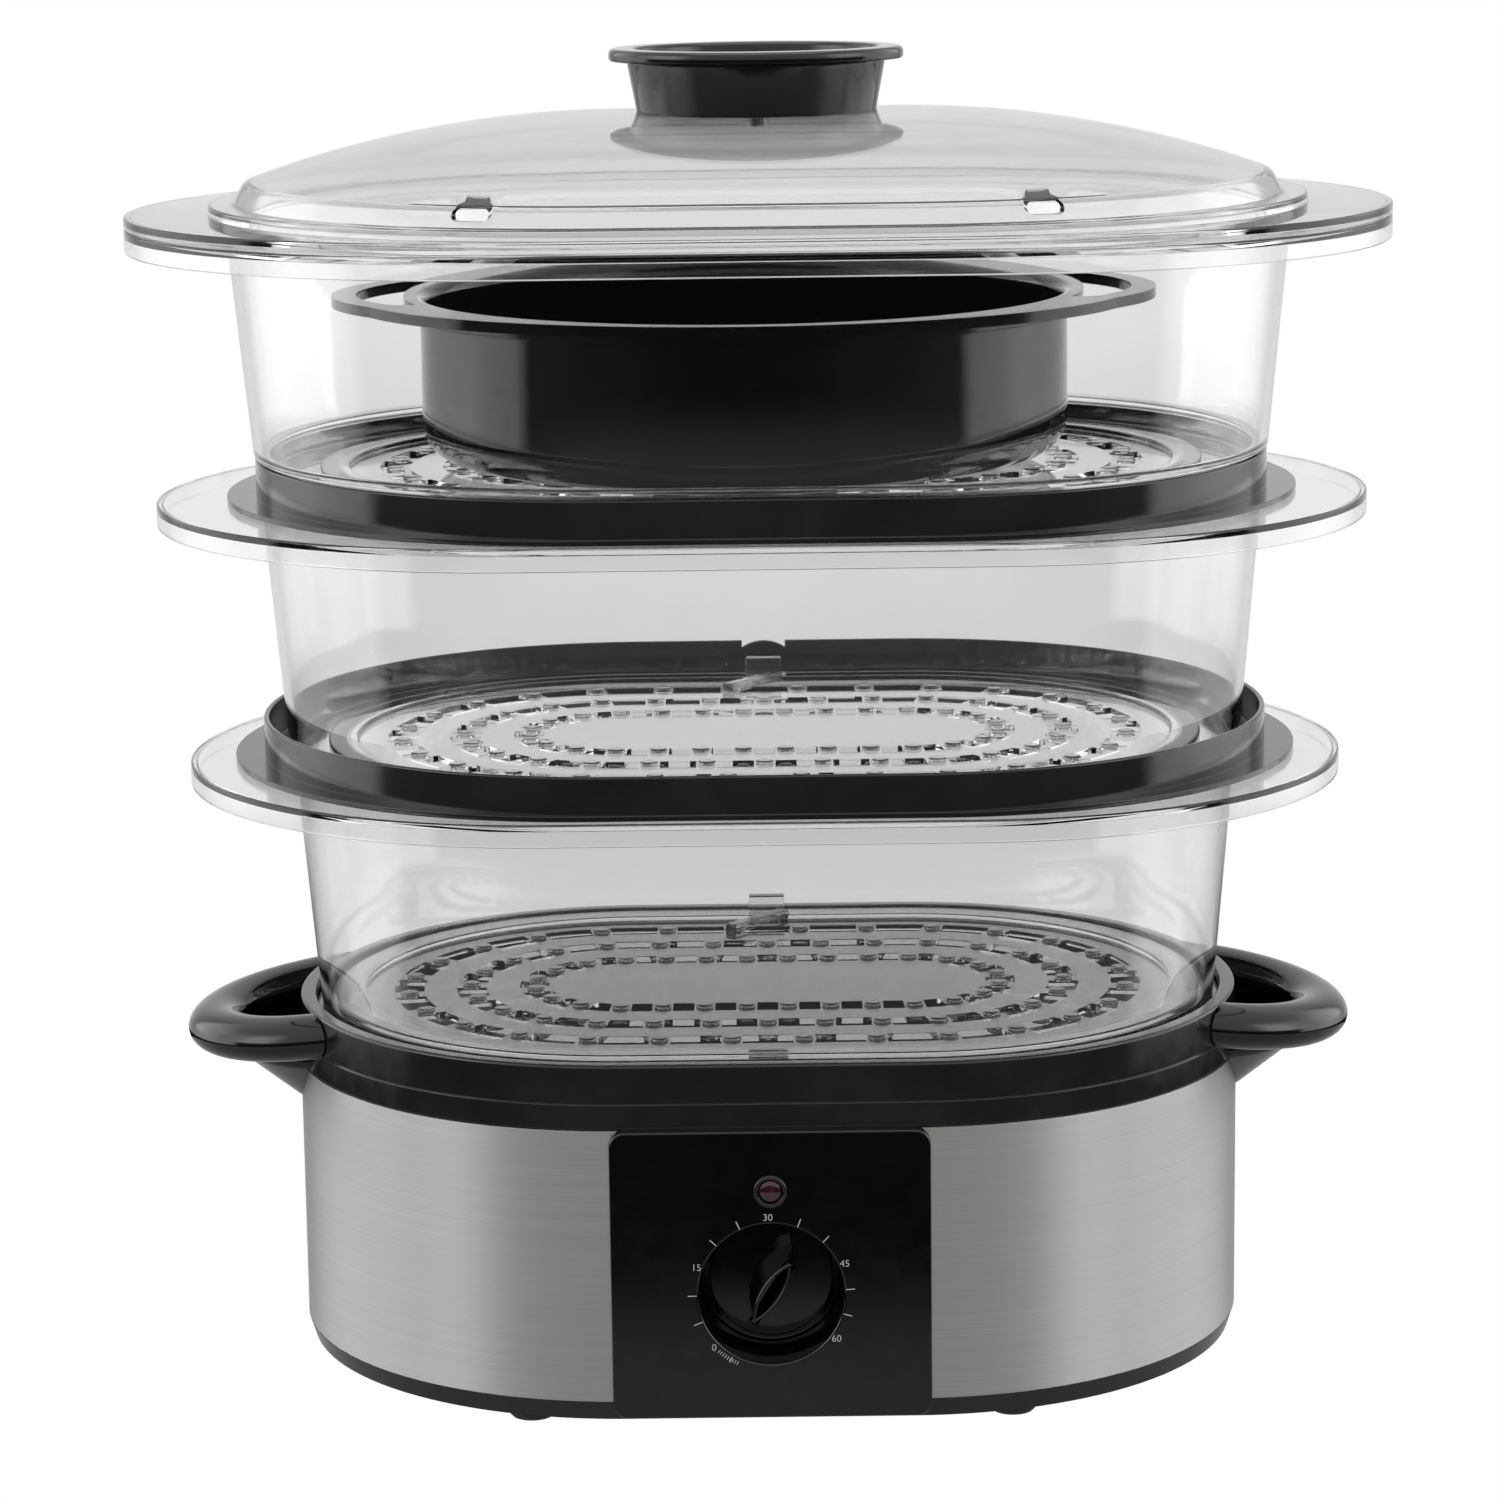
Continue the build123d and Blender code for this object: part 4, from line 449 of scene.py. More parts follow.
def make_finishes():
    tones = colours()

    steel = Finish("brushed_steel_finish", Metallic=1.0, Anisotropic=0.92, Anisotropic_Rotation=0.25)
    grain = steel.noise(1.0, 3.0, steel.stretched((14.0, 14.0, 5200.0)))
    steel.set("Base Color", steel.between(steel.ranged(grain, 0.0, 1.0), shade(tones.steel, 0.90), shade(tones.steel, 1.07)))
    steel.set("Roughness", steel.ranged(grain, 0.44, 0.52))
    steel.bump(grain, 0.10, 0.00004)
    tangent = steel.nodes.new("ShaderNodeTangent")
    tangent.direction_type = "RADIAL"
    tangent.axis = "Z"
    steel.links.new(tangent.outputs["Tangent"], steel.shader.inputs["Tangent"])

    for name, lighter, low_rough, high_rough, wave in (
        ("gloss_black_finish", 1.0, 0.045, 0.085, 0.00006),
        ("soft_black_finish", 3.6, 0.09, 0.15, 0.00006),
        ("satin_black_finish", 2.0, 0.16, 0.22, 0.00003),
    ):
        black = Finish(name, IOR=1.5)
        cloud = black.noise(45.0, 3.0)
        tone = shade(tones.black, lighter)
        black.set("Base Color", black.between(black.ranged(cloud, 0.0, 1.0), shade(tone, 0.8), shade(tone, 1.3)))
        black.set("Roughness", black.ranged(black.noise(160.0, 4.0), low_rough, high_rough))
        black.bump(black.noise(28.0, 1.0), 0.25, wave)

    # the lid and floor copies of the clear plastic are tinted darker than the baskets: painted shade; the lowest
    # floor's plate is darker still
    for name, lighter, wave in (
        ("clear_plastic_finish", 1.0, 0.00008),
        ("clear_lid_painted_shade_finish", 0.83, 0.00014),
        ("clear_floor_painted_shade_finish", 0.82, 0.00008),
        ("painted_shade_floor_finish", 0.48, 0.00008),
    ):
        clear = Finish(name, Transmission_Weight=1.0, IOR=1.49)
        cloud = clear.noise(35.0, 2.0)
        tone = shade(tones.clear, lighter)
        tinted = clear.between(clear.ranged(cloud, 0.0, 1.0), shade(tone, 0.99), shade(tone, 1.01))
        if name == "painted_shade_floor_finish":
            # painted shade: the thin plate of the lowest floor is tinted darker than the rib, studs and catches that
            # stand on it, which keep a lighter clear tint
            height = clear.nodes.new("ShaderNodeSeparateXYZ")
            clear.links.new(clear.place, height.inputs["Vector"])
            plate_top = (low("floor_1") + 2.0) * MM
            raised = clear.ranged(height.outputs["Z"], 0.0, 1.0, plate_top, plate_top + 0.7 * MM)
            tinted = clear.between(raised, tinted, shade(tones.clear, 0.85))
        clear.set("Base Color", tinted)
        clear.set("Roughness", clear.ranged(clear.noise(220.0, 3.0), 0.0, 0.03))
        clear.bump(clear.noise(24.0, 1.0), 0.2, wave)

    lens = Finish("red_lens_finish", IOR=1.5, Coat_Weight=0.6)
    glow = lens.noise(380.0, 1.0)
    lens.set("Base Color", lens.between(lens.ranged(glow, 0.0, 1.0), shade(tones.lens, 0.7), shade(tones.lens, 1.3)))
    lens.set("Roughness", lens.ranged(glow, 0.08, 0.16))

    ink = Finish("dial_print_finish")
    ink.set("Base Color", ink.between(ink.ranged(ink.noise(900.0), 0.0, 1.0), shade(tones.print, 0.85), shade(tones.print, 1.1)))
    ink.set("Roughness", ink.ranged(ink.noise(500.0), 0.45, 0.6))

    for name, tone, metallic, low_rough, high_rough, scale in (
        ("rubber_finish", (0.012, 0.012, 0.012), 0.0, 0.6, 0.8, 300.0),
        ("bright_steel_finish", (0.66, 0.66, 0.65), 1.0, 0.18, 0.3, 400.0),
        ("aluminium_finish", tuple(tones.aluminium), 1.0, 0.3, 0.45, 180.0),
        ("grey_seal_finish", (0.18, 0.18, 0.18), 0.0, 0.5, 0.65, 260.0),
        ("timer_case_finish", (0.33, 0.33, 0.31), 0.0, 0.4, 0.55, 120.0),
        ("brass_finish", tuple(tones.brass), 1.0, 0.22, 0.34, 200.0),
        ("lamp_glass_finish", (0.5, 0.16, 0.1), 0.0, 0.1, 0.2, 500.0),
    ):
        plain = Finish(name, Metallic=metallic)
        cloud = plain.noise(scale, 3.0)
        plain.set("Base Color", plain.between(plain.ranged(cloud, 0.0, 1.0), shade(tone, 0.85), shade(tone, 1.12)))
        plain.set("Roughness", plain.ranged(cloud, low_rough, high_rough))
        plain.bump(cloud, 0.15, 0.00005)


SLOT_FINISH = {
    "clear_plastic": "clear_plastic_finish",
    "black_gloss_plastic": "gloss_black_finish",
    "black_plastic": "satin_black_finish",
    "brushed_steel": "brushed_steel_finish",
    "rubber": "rubber_finish",
    "red_lens": "red_lens_finish",
    "bright_steel": "bright_steel_finish",
    "aluminium": "aluminium_finish",
    "grey_seal": "grey_seal_finish",
    "timer_case": "timer_case_finish",
    "brass": "brass_finish",
    "lamp_glass": "lamp_glass_finish",
}


def finish_for(slot):
    return Finish.made[SLOT_FINISH[slot]]


class STEAMER_OT_finishes(bpy.types.Operator):
    """Makes the finishes and gives every CAD piece its own"""

    bl_idname = "steamer.finishes"
    bl_label = "Finishes"

    def execute(self, context):
        make_finishes()
        for name, node in NODES.items():
            slot = NODE_SLOT[name]
            node.data.materials.clear()
            node.data.materials.append(finish_for(slot))
        return {"FINISHED"}


NODE_SLOT = {}
for part_entry in frame["record"]["subparts"]:
    NODE_SLOT[part_entry["node"]] = part_entry["material_slot"]


# ------------------------------------------------------------------ base
class STEAMER_OT_band(bpy.types.Operator):
    """Models the brushed steel band with the window behind the panel"""

    bl_idname = "steamer.band"
    bl_label = "Steel band"

    def execute(self, context):
        s = sizes()
        radius = s.base_radius / MM
        inner = radius - s.band_wall / MM
        bottom, top = low("steel_band"), high("steel_band")
        edge = s.steel_edge / MM
        band = run_round(
            "band",
            [(inner, bottom, edge), (radius, bottom, edge), (radius, top, edge), (inner, top, edge)],
            s.half_straight / MM,
        )
        cut(band, block("window", (0, -radius, 47.0), (76.0, 8.0, 60.0)))
        smooth(band)
        hand_over(band, finish_for("brushed_steel"), "brushed_steel", "steel_band")
        return {"FINISHED"}


class STEAMER_OT_tank(bpy.types.Operator):
    """Models the water tank with its collar, ledge and filling slots"""

    bl_idname = "steamer.tank"
    bl_label = "Water tank and collar"

    def execute(self, context):
        s = sizes()
        half, radius, soft = s.half_straight / MM, s.base_radius / MM, s.soft_edge / MM
        top = high("water_tank")
        tank = run_round(
            "tank",
            [
                (0, 63.0),
                (radius - 12.0, 63.0, soft),
                (radius - 12.0, 86.8),
                (radius - 3.1, 86.8),
                (radius - 3.1, 78.0),
                (radius - 1.1, 78.0),
                (radius - 1.1, 86.8),
                (radius, 86.8, 0.3),
                (radius, 94.0, 0.3),
                (radius - 0.5, 94.0, 0.12),
                (radius - 0.5, top, 0.9),
                (radius - 5.0, top, 0.7),
                (radius - 5.0, 99.8),
                (radius - 8.0, 99.8, soft),
                (radius - 8.0, 97.3),
                (radius - 5.0, 97.3),
                (radius - 5.0, 89.3),
                (radius - 14.5, 89.3, 1.0),
                (radius - 14.5, 65.5, 1.5),
                (0, 65.5),
            ],
            half,
            closed=False,
        )
        cut(tank, lathe("heater_hole", [(0, 60), (36, 60), (36, 68), (0, 68)], (0, 0, 0)))
        for side in (-1, 1):
            cut(tank, block("inlet", (side * (half + radius - 1.5), 0, 92.8), (12.0, 28.0, 7.0)))
        smooth(tank)
        hand_over(tank, Finish.made["soft_black_finish"], "black_gloss_plastic", "water_tank")
        return {"FINISHED"}


class STEAMER_OT_handles(bpy.types.Operator):
    """Models the two carrying handles and the fill spouts under them"""

    bl_idname = "steamer.handles"
    bl_label = "Handles and fill spouts"

    def execute(self, context):
        s = sizes()
        reach = (s.half_straight + s.base_radius) / MM
        radius = s.base_radius / MM
        centre = reach - 11.5
        for side, word in ((-1, "left"), (1, "right")):
            start_clean()
            bpy.ops.mesh.primitive_torus_add(
                major_segments=112, minor_segments=36, major_radius=36.3 * MM, minor_radius=8.5 * MM
            )
            grip = added(f"{word}_grip")
            grip.location = (side * centre * MM, 0, 99.0 * MM)
            grip.rotation_euler = (0, side * math.radians(7.44), 0)
            grip.scale = (1.0, 1.0, 6.5 / 8.5)
            settle(grip)
            cut(grip, oval_block("collar_shape", reach, radius, 0, 200))
            smooth(grip)
            hand_over(grip, finish_for("black_gloss_plastic"), "black_gloss_plastic", f"{word}_handle")

            spout = lathe(
                f"{word}_fill_spout",
                [(0, 72.5), (12.5, 72.5, 1.5), (30.5, 87.5, 1.5), (30.5, 95, 0.7), (28.3, 95, 0.7), (28.3, 89.3, 1.0), (0, 89.3)],
                (side * centre, 0, 0),
            )
            cut(spout, oval_block("band_shape", reach, radius, 0, 200))
            smooth(spout)
            hand_over(spout, Finish.made["gloss_black_finish"], "black_gloss_plastic", f"{word}_spout")
        return {"FINISHED"}


DIAL = (0.0, 0.0, 40.2)  # the dial's axis runs through here along Y


class STEAMER_OT_panel(bpy.types.Operator):
    """Models the control panel with the sunk cup of the dial"""

    bl_idname = "steamer.panel"
    bl_label = "Control panel"

    def execute(self, context):
        s = sizes()
        back, front = -s.base_radius / MM, low("control_panel", 1)
        left, right = low("control_panel", 0), high("control_panel", 0)
        bottom, top = low("control_panel"), high("control_panel")
        panel = block("front_panel", (0, (front + back) / 2, (bottom + top) / 2), (right - left, back - front, top - bottom))

        def corner(a, b):
            return abs(a.x - b.x) < 1e-6 and abs(a.z - b.z) < 1e-6

        pick_edges(panel, corner)
        bpy.ops.mesh.bevel(offset=4.2 * MM, segments=8, affect="EDGES")
        done()
        pick_edges(panel, lambda a, b: max(a.y, b.y) < (front + 0.1) * MM)
        bpy.ops.mesh.bevel(offset=0.8 * MM, segments=4, affect="EDGES")
        done()
        cut(panel, lathe("well_hole", [(0, -110), (20.15, -110), (20.15, -90), (0, -90)], DIAL, "Y"))
        cut(panel, lathe("lamp_hole", [(0, -110), (4.1, -110), (4.1, -90), (0, -90)], (0, 0, 69.8), "Y", 48))

        def mouth(a, b):
            return all(
                abs(math.hypot(p.x / MM, p.z / MM - DIAL[2]) - 20.15) < 0.02 and p.y < (front + 0.01) * MM for p in (a, b)
            )

        pick_edges(panel, mouth)
        bpy.ops.mesh.bevel(offset=0.7 * MM, segments=4, affect="EDGES")
        done()
        cup = lathe(
            "dial_cup",
            [(20.15, back), (20.15, -79.0, 0.6), (3.3, -79.0), (3.3, -77.2), (21.95, -77.2, 0.5), (21.95, back)],
            DIAL,
            "Y",
            closed=True,
        )
        panel = join(panel, cup)
        smooth(panel, 35.0)
        hand_over(panel, finish_for("black_gloss_plastic"), "black_gloss_plastic", "control_panel")
        return {"FINISHED"}


class STEAMER_OT_lamp(bpy.types.Operator):
    """Models the indicator lamp's bezel and lens"""

    bl_idname = "steamer.lamp"
    bl_label = "Indicator lamp"

    def execute(self, context):
        centre = (0.0, 0.0, 69.8)
        face = low("control_panel", 1)
        bezel = lathe(
            "lamp_bezel",
            [(3.5, face - 0.7, 0.2), (4.1, face - 0.8, 0.3), (4.65, face - 0.5, 0.3), (4.65, face), (4.0, face), (4.0, -92.0), (3.5, -92.0)],
            centre,
            "Y",
            64,
            closed=True,
        )
        smooth(bezel)
        hand_over(bezel, Finish.made["soft_black_finish"], "black_gloss_plastic", "indicator_bezel")
        lens = lathe(
            "lamp_lens",
            [(0, face - 0.55), (1.6, face - 0.5), (2.7, face - 0.3), (3.4, face + 0.15), (3.4, face + 4.6), (0, face + 4.6)],
            centre,
            "Y",
            48,
        )
        smooth(lens, 60.0)
        hand_over(lens, finish_for("red_lens"), "red_lens", "indicator_lens")
        return {"FINISHED"}


class STEAMER_OT_knob(bpy.types.Operator):
    """Models the dial's disc with its lens-shaped grip"""

    bl_idname = "steamer.knob"
    bl_label = "Timer knob"

    def execute(self, context):
        face = -84.0
        disc = lathe(
            "dial_disc",
            [(0, face), (17.3, face, 0.5), (17.3, face + 2.0, 0.4), (6.0, face + 2.0), (6.0, face + 4.2), (3.05, face + 4.2), (3.05, face + 1.0), (0, face + 1.0)],
            DIAL,
            "Y",
        )
        length, width, tall = 22.5, 9.0, 15.5
        bow = (length**2 / 4 + width**2 / 4) / width
        edge = []
        for side in (1, -1):
            for step in range(12):
                z = side * (-length / 2 + length * step / 12)
                x = side * (math.sqrt(bow**2 - z**2) - bow + width / 2)
                edge.append((x * MM, (face + 0.4) * MM, (DIAL[2] + z) * MM))
        grip = trace("grip", edge, closed=True)
        edit(grip)
        bpy.ops.mesh.select_all(action="SELECT")
        bpy.ops.mesh.edge_face_add()
        middle = (0, 0, DIAL[2] * MM)
        bpy.ops.mesh.extrude_region_move(TRANSFORM_OT_translate={"value": (0, -(tall + 0.4) * MM, 0)})
        bpy.ops.transform.resize(value=(6.0 / width, 1.0, 21.0 / length), center_override=middle)
        done()
        tidy(grip)
        front = (face - tall) * MM

        def along_tip(a, b):
            return abs(a.y - b.y) > 5 * MM and abs(a.x) < 0.1 * MM

        pick_edges(grip, along_tip)
        bpy.ops.mesh.bevel(offset=1.1 * MM, segments=4, affect="EDGES")
        done()
        pick_edges(grip, lambda a, b: a.y < front + 1e-5 and b.y < front + 1e-5)
        bpy.ops.mesh.bevel(offset=0.55 * MM, segments=4, affect="EDGES")
        done()
        # the grip's face is dished
        edit(grip, "FACE")
        bpy.ops.mesh.select_all(action="DESELECT")
        done()
        flat = max(grip.data.polygons, key=lambda f: f.area if f.normal.y < -0.99 else 0)
        flat.select = True
        bpy.ops.object.mode_set(mode="EDIT")
        bpy.ops.mesh.inset(thickness=0.45 * MM, depth=-0.3 * MM)
        done()
        grip.location = (0, 0, 0)
        take(grip)
        bpy.context.scene.cursor.location = middle
        bpy.ops.object.origin_set(type="ORIGIN_CURSOR")
        grip.rotation_euler = (0, math.radians(31.5), 0)
        settle(grip)
        knob = join(disc, grip)
        smooth(knob, 40.0)
        hand_over(knob, finish_for("black_gloss_plastic"), "black_gloss_plastic", "timer_knob")
        return {"FINISHED"}


class STEAMER_OT_dial_print(bpy.types.Operator):
    """Prints the minutes, the ticks and the off mark round the dial"""

    bl_idname = "steamer.dial_print"
    bl_label = "Dial numbers"

    def execute(self, context):
        face = low("control_panel", 1)
        ring = 21.9
        marks = []

        def at(clock, radius):
            turn = math.radians(clock)
            return (radius * math.sin(turn), DIAL[2] + radius * math.cos(turn))

        for words, clock in (("0", 226.5), ("15", 291.0), ("30", 358.0), ("45", 67.0), ("60", 126.0)):
            x, z = at(clock, ring + 0.2)
            start_clean()
            bpy.ops.object.text_add(location=(x * MM, (face - 0.015) * MM, z * MM), rotation=(math.pi / 2, 0, 0))
            number = added(f"number_{words}")
            number.data.body = words
            number.data.size = sizes().number_height * 1.38
            number.data.align_x = "CENTER"
            number.data.align_y = "CENTER"
            number.data.extrude = 0.01 * MM
            number.data.offset = -0.02 * MM
            number.data.resolution_u = 6
            bpy.ops.object.convert(target="MESH")
            settle(number)
            marks.append(number)
        ticks = [(clock, 1.25, 0.26, 1.2) for clock in (248.0, 269.5, 313.3, 335.6, 21.0, 44.0, 86.7, 106.3)]
        ticks += [(222.0 - 2.0 * step, 0.55, 0.2, 0.0) for step in range(9)] + [(211.5, 0.8, 0.22, 1.0)]
        for clock, half, width, _ in ticks:
            x, z = at(clock, ring)
            tick = block("tick", (x, face - 0.015, z), (width, 0.02, 2 * half), (0, clock, 0))
            pick_edges(tick, lambda a, b: abs(a.y - b.y) > 1e-6)
            bpy.ops.mesh.bevel(offset=0.05 * MM, segments=1, affect="EDGES")
            done()
            marks.append(tick)
        printed = join(*marks)
        printed.name = printed.data.name = "dial_print"
        printed.data.materials.clear()
        printed.data.materials.append(Finish.made["dial_print_finish"])
        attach(printed, BODY_OF["control_panel"])
        return {"FINISHED"}


# ------------------------------------------------------------------ steam tiers
class STEAMER_OT_tray(bpy.types.Operator):
    """Models the drip tray with the steam way in its middle"""

    bl_idname = "steamer.tray"
    bl_label = "Drip tray"

    def execute(self, context):
        bottom, top = low("drip_tray"), high("drip_tray")
        radius = high("drip_tray", 1)
        tray = run_round(
            "tray",
            [
                (18.4, bottom, 0.4),
                (radius - 3.4, bottom, 1.0),
                (radius - 3.4, top - 1.6, 0.4),
                (radius, top - 1.6, 0.4),
                (radius, top, 0.5),
                (radius - 5.0, top, 0.5),
                (radius - 5.0, bottom + 1.6, 1.2),
                (20.0, bottom + 1.6, 0.8),
                (20.0, 99.0, 0.5),
                (18.4, 99.0, 0.5),
            ],
            sizes().half_straight / MM,
        )
        smooth(tray)
        hand_over(tray, finish_for("black_gloss_plastic"), "black_gloss_plastic", "drip_tray")
        return {"FINISHED"}


def clear_flange(node, bottom_reach, skirt_wall):
    """The skirted edge of a basket's flange, as a section that is still open on its inside."""
    top = high(node)
    radius = high(node, 1)
    straight = high(node, 0) - radius
    skirt = radius - skirt_wall
    section = [
        (skirt - 0.25, top - 2.0),
        (skirt, top - 2.0, 0.2),
        (skirt, top - bottom_reach, 0.3),
        (radius, top - bottom_reach, 0.45),
        (radius, top, 0.6),
        (radius - 0.7, top),
    ]
    return run_round(f"{node}_flange", section, straight, closed=False), straight, skirt


class STEAMER_OT_baskets(bpy.types.Operator):
    """Models the three clear baskets"""

    bl_idname = "steamer.baskets"
    bl_label = "Clear baskets"

    def execute(self, context):
        s = sizes()
        half, wall = s.half_straight / MM, s.clear_wall / MM
        for node, radius in (("basket_1", 90.6), ("basket_2", 97.7), ("basket_3", 105.3)):
            bottom, top = low(node), high(node)
            edge, straight, skirt = clear_flange(node, 6.4, 1.8 if node != "basket_3" else 0.7)
            if node == "basket_3":
                foot, shelf = 102.8, bottom + 6.5
                outer_at = radius + 6.0 * (top - 2.0 - shelf) / (top - shelf)
                section = [
                    (outer_at + 0.3, top - 2.0),
                    (outer_at, top - 2.0, 0.25),
                    (radius, shelf, 0.8),
                    (foot, shelf, 0.6),
                    (foot, bottom, 0.6),
                    (81.0, bottom, 0.4),
                    (81.0, bottom + 1.6, 0.4),
                    (foot - wall, bottom + 1.6, 0.8),
                    (foot - wall, shelf + wall, 0.6),
                    (radius - wall, shelf + wall, 0.8),
                    (radius + 6.0 - wall, top, 0.5),
                    (radius + 6.6 - wall, top),
                ]
            else:
                outer_at = radius + 6.0 * (top - 2.0 - bottom) / (top - bottom)
                section = [
                    (outer_at + 0.6, top - 2.0),
                    (outer_at, top - 2.0, 0.5),
                    (radius, bottom, 0.8),
                    (81.0, bottom, 0.4),
                    (81.0, bottom + 1.6, 0.4),
                    (radius - wall, bottom + 1.6, 0.9),
                    (radius + 6.0 - wall, top, 0.5),
                    (radius + 6.6 - wall, top),
                ]
            shell = run_round(f"{node}_shell", section, half, closed=False)
            shell = join(shell, edge)
            bridge(shell, (half, section[0][0], top - 2.0), (straight, skirt - 0.25, top - 2.0))
            bridge(shell, (half, section[-1][0], top), (straight, high(node, 1) - 0.7, top))
            tidy(shell)
            smooth(shell)
            hand_over(shell, finish_for("clear_plastic"), "clear_plastic", node)
        return {"FINISHED"}


def oval_places(radius, count, turn, half):
    """Evenly spaced (x, y, heading) places round an oval, counted from the middle of its back."""
    curve = math.pi * radius
    trip = 4 * half + 2 * curve
    places = []
    for index in range(count):
        along = ((index + turn) * trip / count) % trip
        flip = 1 if along < trip / 2 else -1
        along = (along % (trip / 2)) - half
        if along < 0:
            x, y, heading = along + half, radius, 0.0
        elif along < curve:
            angle = along / radius
            x, y, heading = half + radius * math.sin(angle), radius * math.cos(angle), -math.degrees(angle)
        else:
            x, y, heading = half - (along - curve), -radius, 180.0
        places.append((flip * x, flip * y, heading))
    return places


class STEAMER_OT_floors(bpy.types.Operator):
    """Models the slotted floors with their studs and catches"""

    bl_idname = "steamer.floors"
    bl_label = "Slotted floors"

    def execute(self, context):
        s = sizes()
        half = s.half_straight / MM
        slot_width = s.slot_width / MM
        for node, catch, finish in (
            # the lowest floor's finish carries painted shade on its plate
            ("floor_1", 6.8, "painted_shade_floor_finish"),
            # the upper floors get the darker clear copy, which is painted shade
            ("floor_2", 6.8, "clear_floor_painted_shade_finish"),
            ("floor_3", 2.8, "clear_floor_painted_shade_finish"),
        ):
            base = low(node)
            plate = run_round(
                f"{node}_plate",
                [(0, base), (80.7, base, 0.3), (80.7, base + 1.4), (86.5, base + 1.4, 0.4), (86.5, base + 3.2, 0.6), (78.0, base + 3.2, 0.6), (78.0, base + 1.8, 0.3), (0, base + 1.8)],
                half,
                closed=False,
            )
            studs = []
            for radius, turn in ((65.2, 0.5), (47.0, 0.0), (28.5, 0.5)):
                ring = run_round(
                    "slot_ring",
                    [
                        (radius - slot_width / 2, base - 2),
                        (radius + slot_width / 2, base - 2),
                        (radius + slot_width / 2, base + 4),
                        (radius - slot_width / 2, base + 4),
                    ],
                    half,
                )
                places = oval_places(radius, s.bridges, turn, half)
                bars = [
                    block("bar", (x, y, base + 1), (6.0, 2 * slot_width, 8.0), (0, 0, heading)) for x, y, heading in places
                ]
                cut(ring, join(*bars))
                cut(plate, ring)
                for x, y, _ in places:
                    start_clean()
                    bpy.ops.mesh.primitive_cylinder_add(
                        vertices=20, radius=2.6 * MM, depth=1.6 * MM, location=(x * MM, y * MM, (base + 2.0) * MM)
                    )
                    stud = added("stud")
                    settle(stud)
                    pick_edges(stud, lambda a, b: min(a.z, b.z) > (base + 2.7) * MM)
                    bpy.ops.mesh.bevel(offset=0.7 * MM, segments=3, affect="EDGES")
                    done()
                    studs.append(stud)
            soften(plate, 0.3)
            rib_turn = math.radians(50.0)
            rib = block(
                "rib",
                (5.5 - 13.0 * math.cos(rib_turn), 82.5 - 13.0 * math.sin(rib_turn), base + 2.8),
                (26.0, 4.0, 2.8),
                (0, 0, 50.0),
            )
            back_catch = block("back_catch", (0, 84.5, base + 1.4 + catch / 2), (11.0, 4.0, catch))
            front_catch = block("front_catch", (0, -84.5, base + 2.8), (11.0, 4.0, 2.8))
            for piece in (rib, back_catch, front_catch):
                soften(piece, 0.5, segments=3)
            floor = join(plate, rib, back_catch, front_catch, *studs)
            smooth(floor, 35.0)
            hand_over(floor, Finish.made[finish], "clear_plastic", node)
        return {"FINISHED"}


class STEAMER_OT_rings(bpy.types.Operator):
    """Models the black joint rings between the tiers"""

    bl_idname = "steamer.rings"
    bl_label = "Joint rings"

    def execute(self, context):
        s = sizes()
        half, wall = s.half_straight / MM, s.ring_wall / MM
        opening = 90.0
        for node in ("joint_ring_1", "joint_ring_2"):
            bottom, top = low(node), high(node)
            radius = high(node, 1)
            straight = high(node, 0) - radius
            collar = radius - 0.4
            section = [
                (collar + 0.12, bottom + wall),
                (collar, bottom + wall, 0.1),
                (collar, top, 0.6),
                (collar - wall, top, 0.6),
                (collar - wall, bottom + wall, 0.8),
                (opening, bottom + wall, 0.4),
                (opening, bottom, 0.4),
                (opening + 0.8, bottom),
            ]
            ring = run_round(f"{node}_collar", section, half, closed=False)
            plate = run_round(
                f"{node}_plate",
                [(radius - 0.5, bottom), (radius, bottom, 0.3), (radius, bottom + wall, 0.3), (radius - 0.25, bottom + wall)],
                straight,
                closed=False,
            )
            # the rounding would reach past these short ends, so it is kept small there
            ring = join(ring, plate)
            bridge(ring, (half, collar + 0.12, bottom + wall), (straight, radius - 0.25, bottom + wall))
            bridge(ring, (half, opening + 0.8, bottom), (straight, radius - 0.5, bottom))
            tidy(ring)
            notch = block("notch", (0, collar, top), (13.4, 8.0, 5.0))
            tab_radius = 11.6
            tab = lathe(
                "tab",
                [(0, collar - 6), (tab_radius, collar - 6), (tab_radius, collar + 6), (0, collar + 6)],
                (0, 0, top - tab_radius - 0.1),
                "Y",
                96,
            )
            cut(notch, tab)
            cut(ring, notch)
            smooth(ring, 35.0)
            hand_over(ring, Finish.made["soft_black_finish"], "black_gloss_plastic", node)
        return {"FINISHED"}


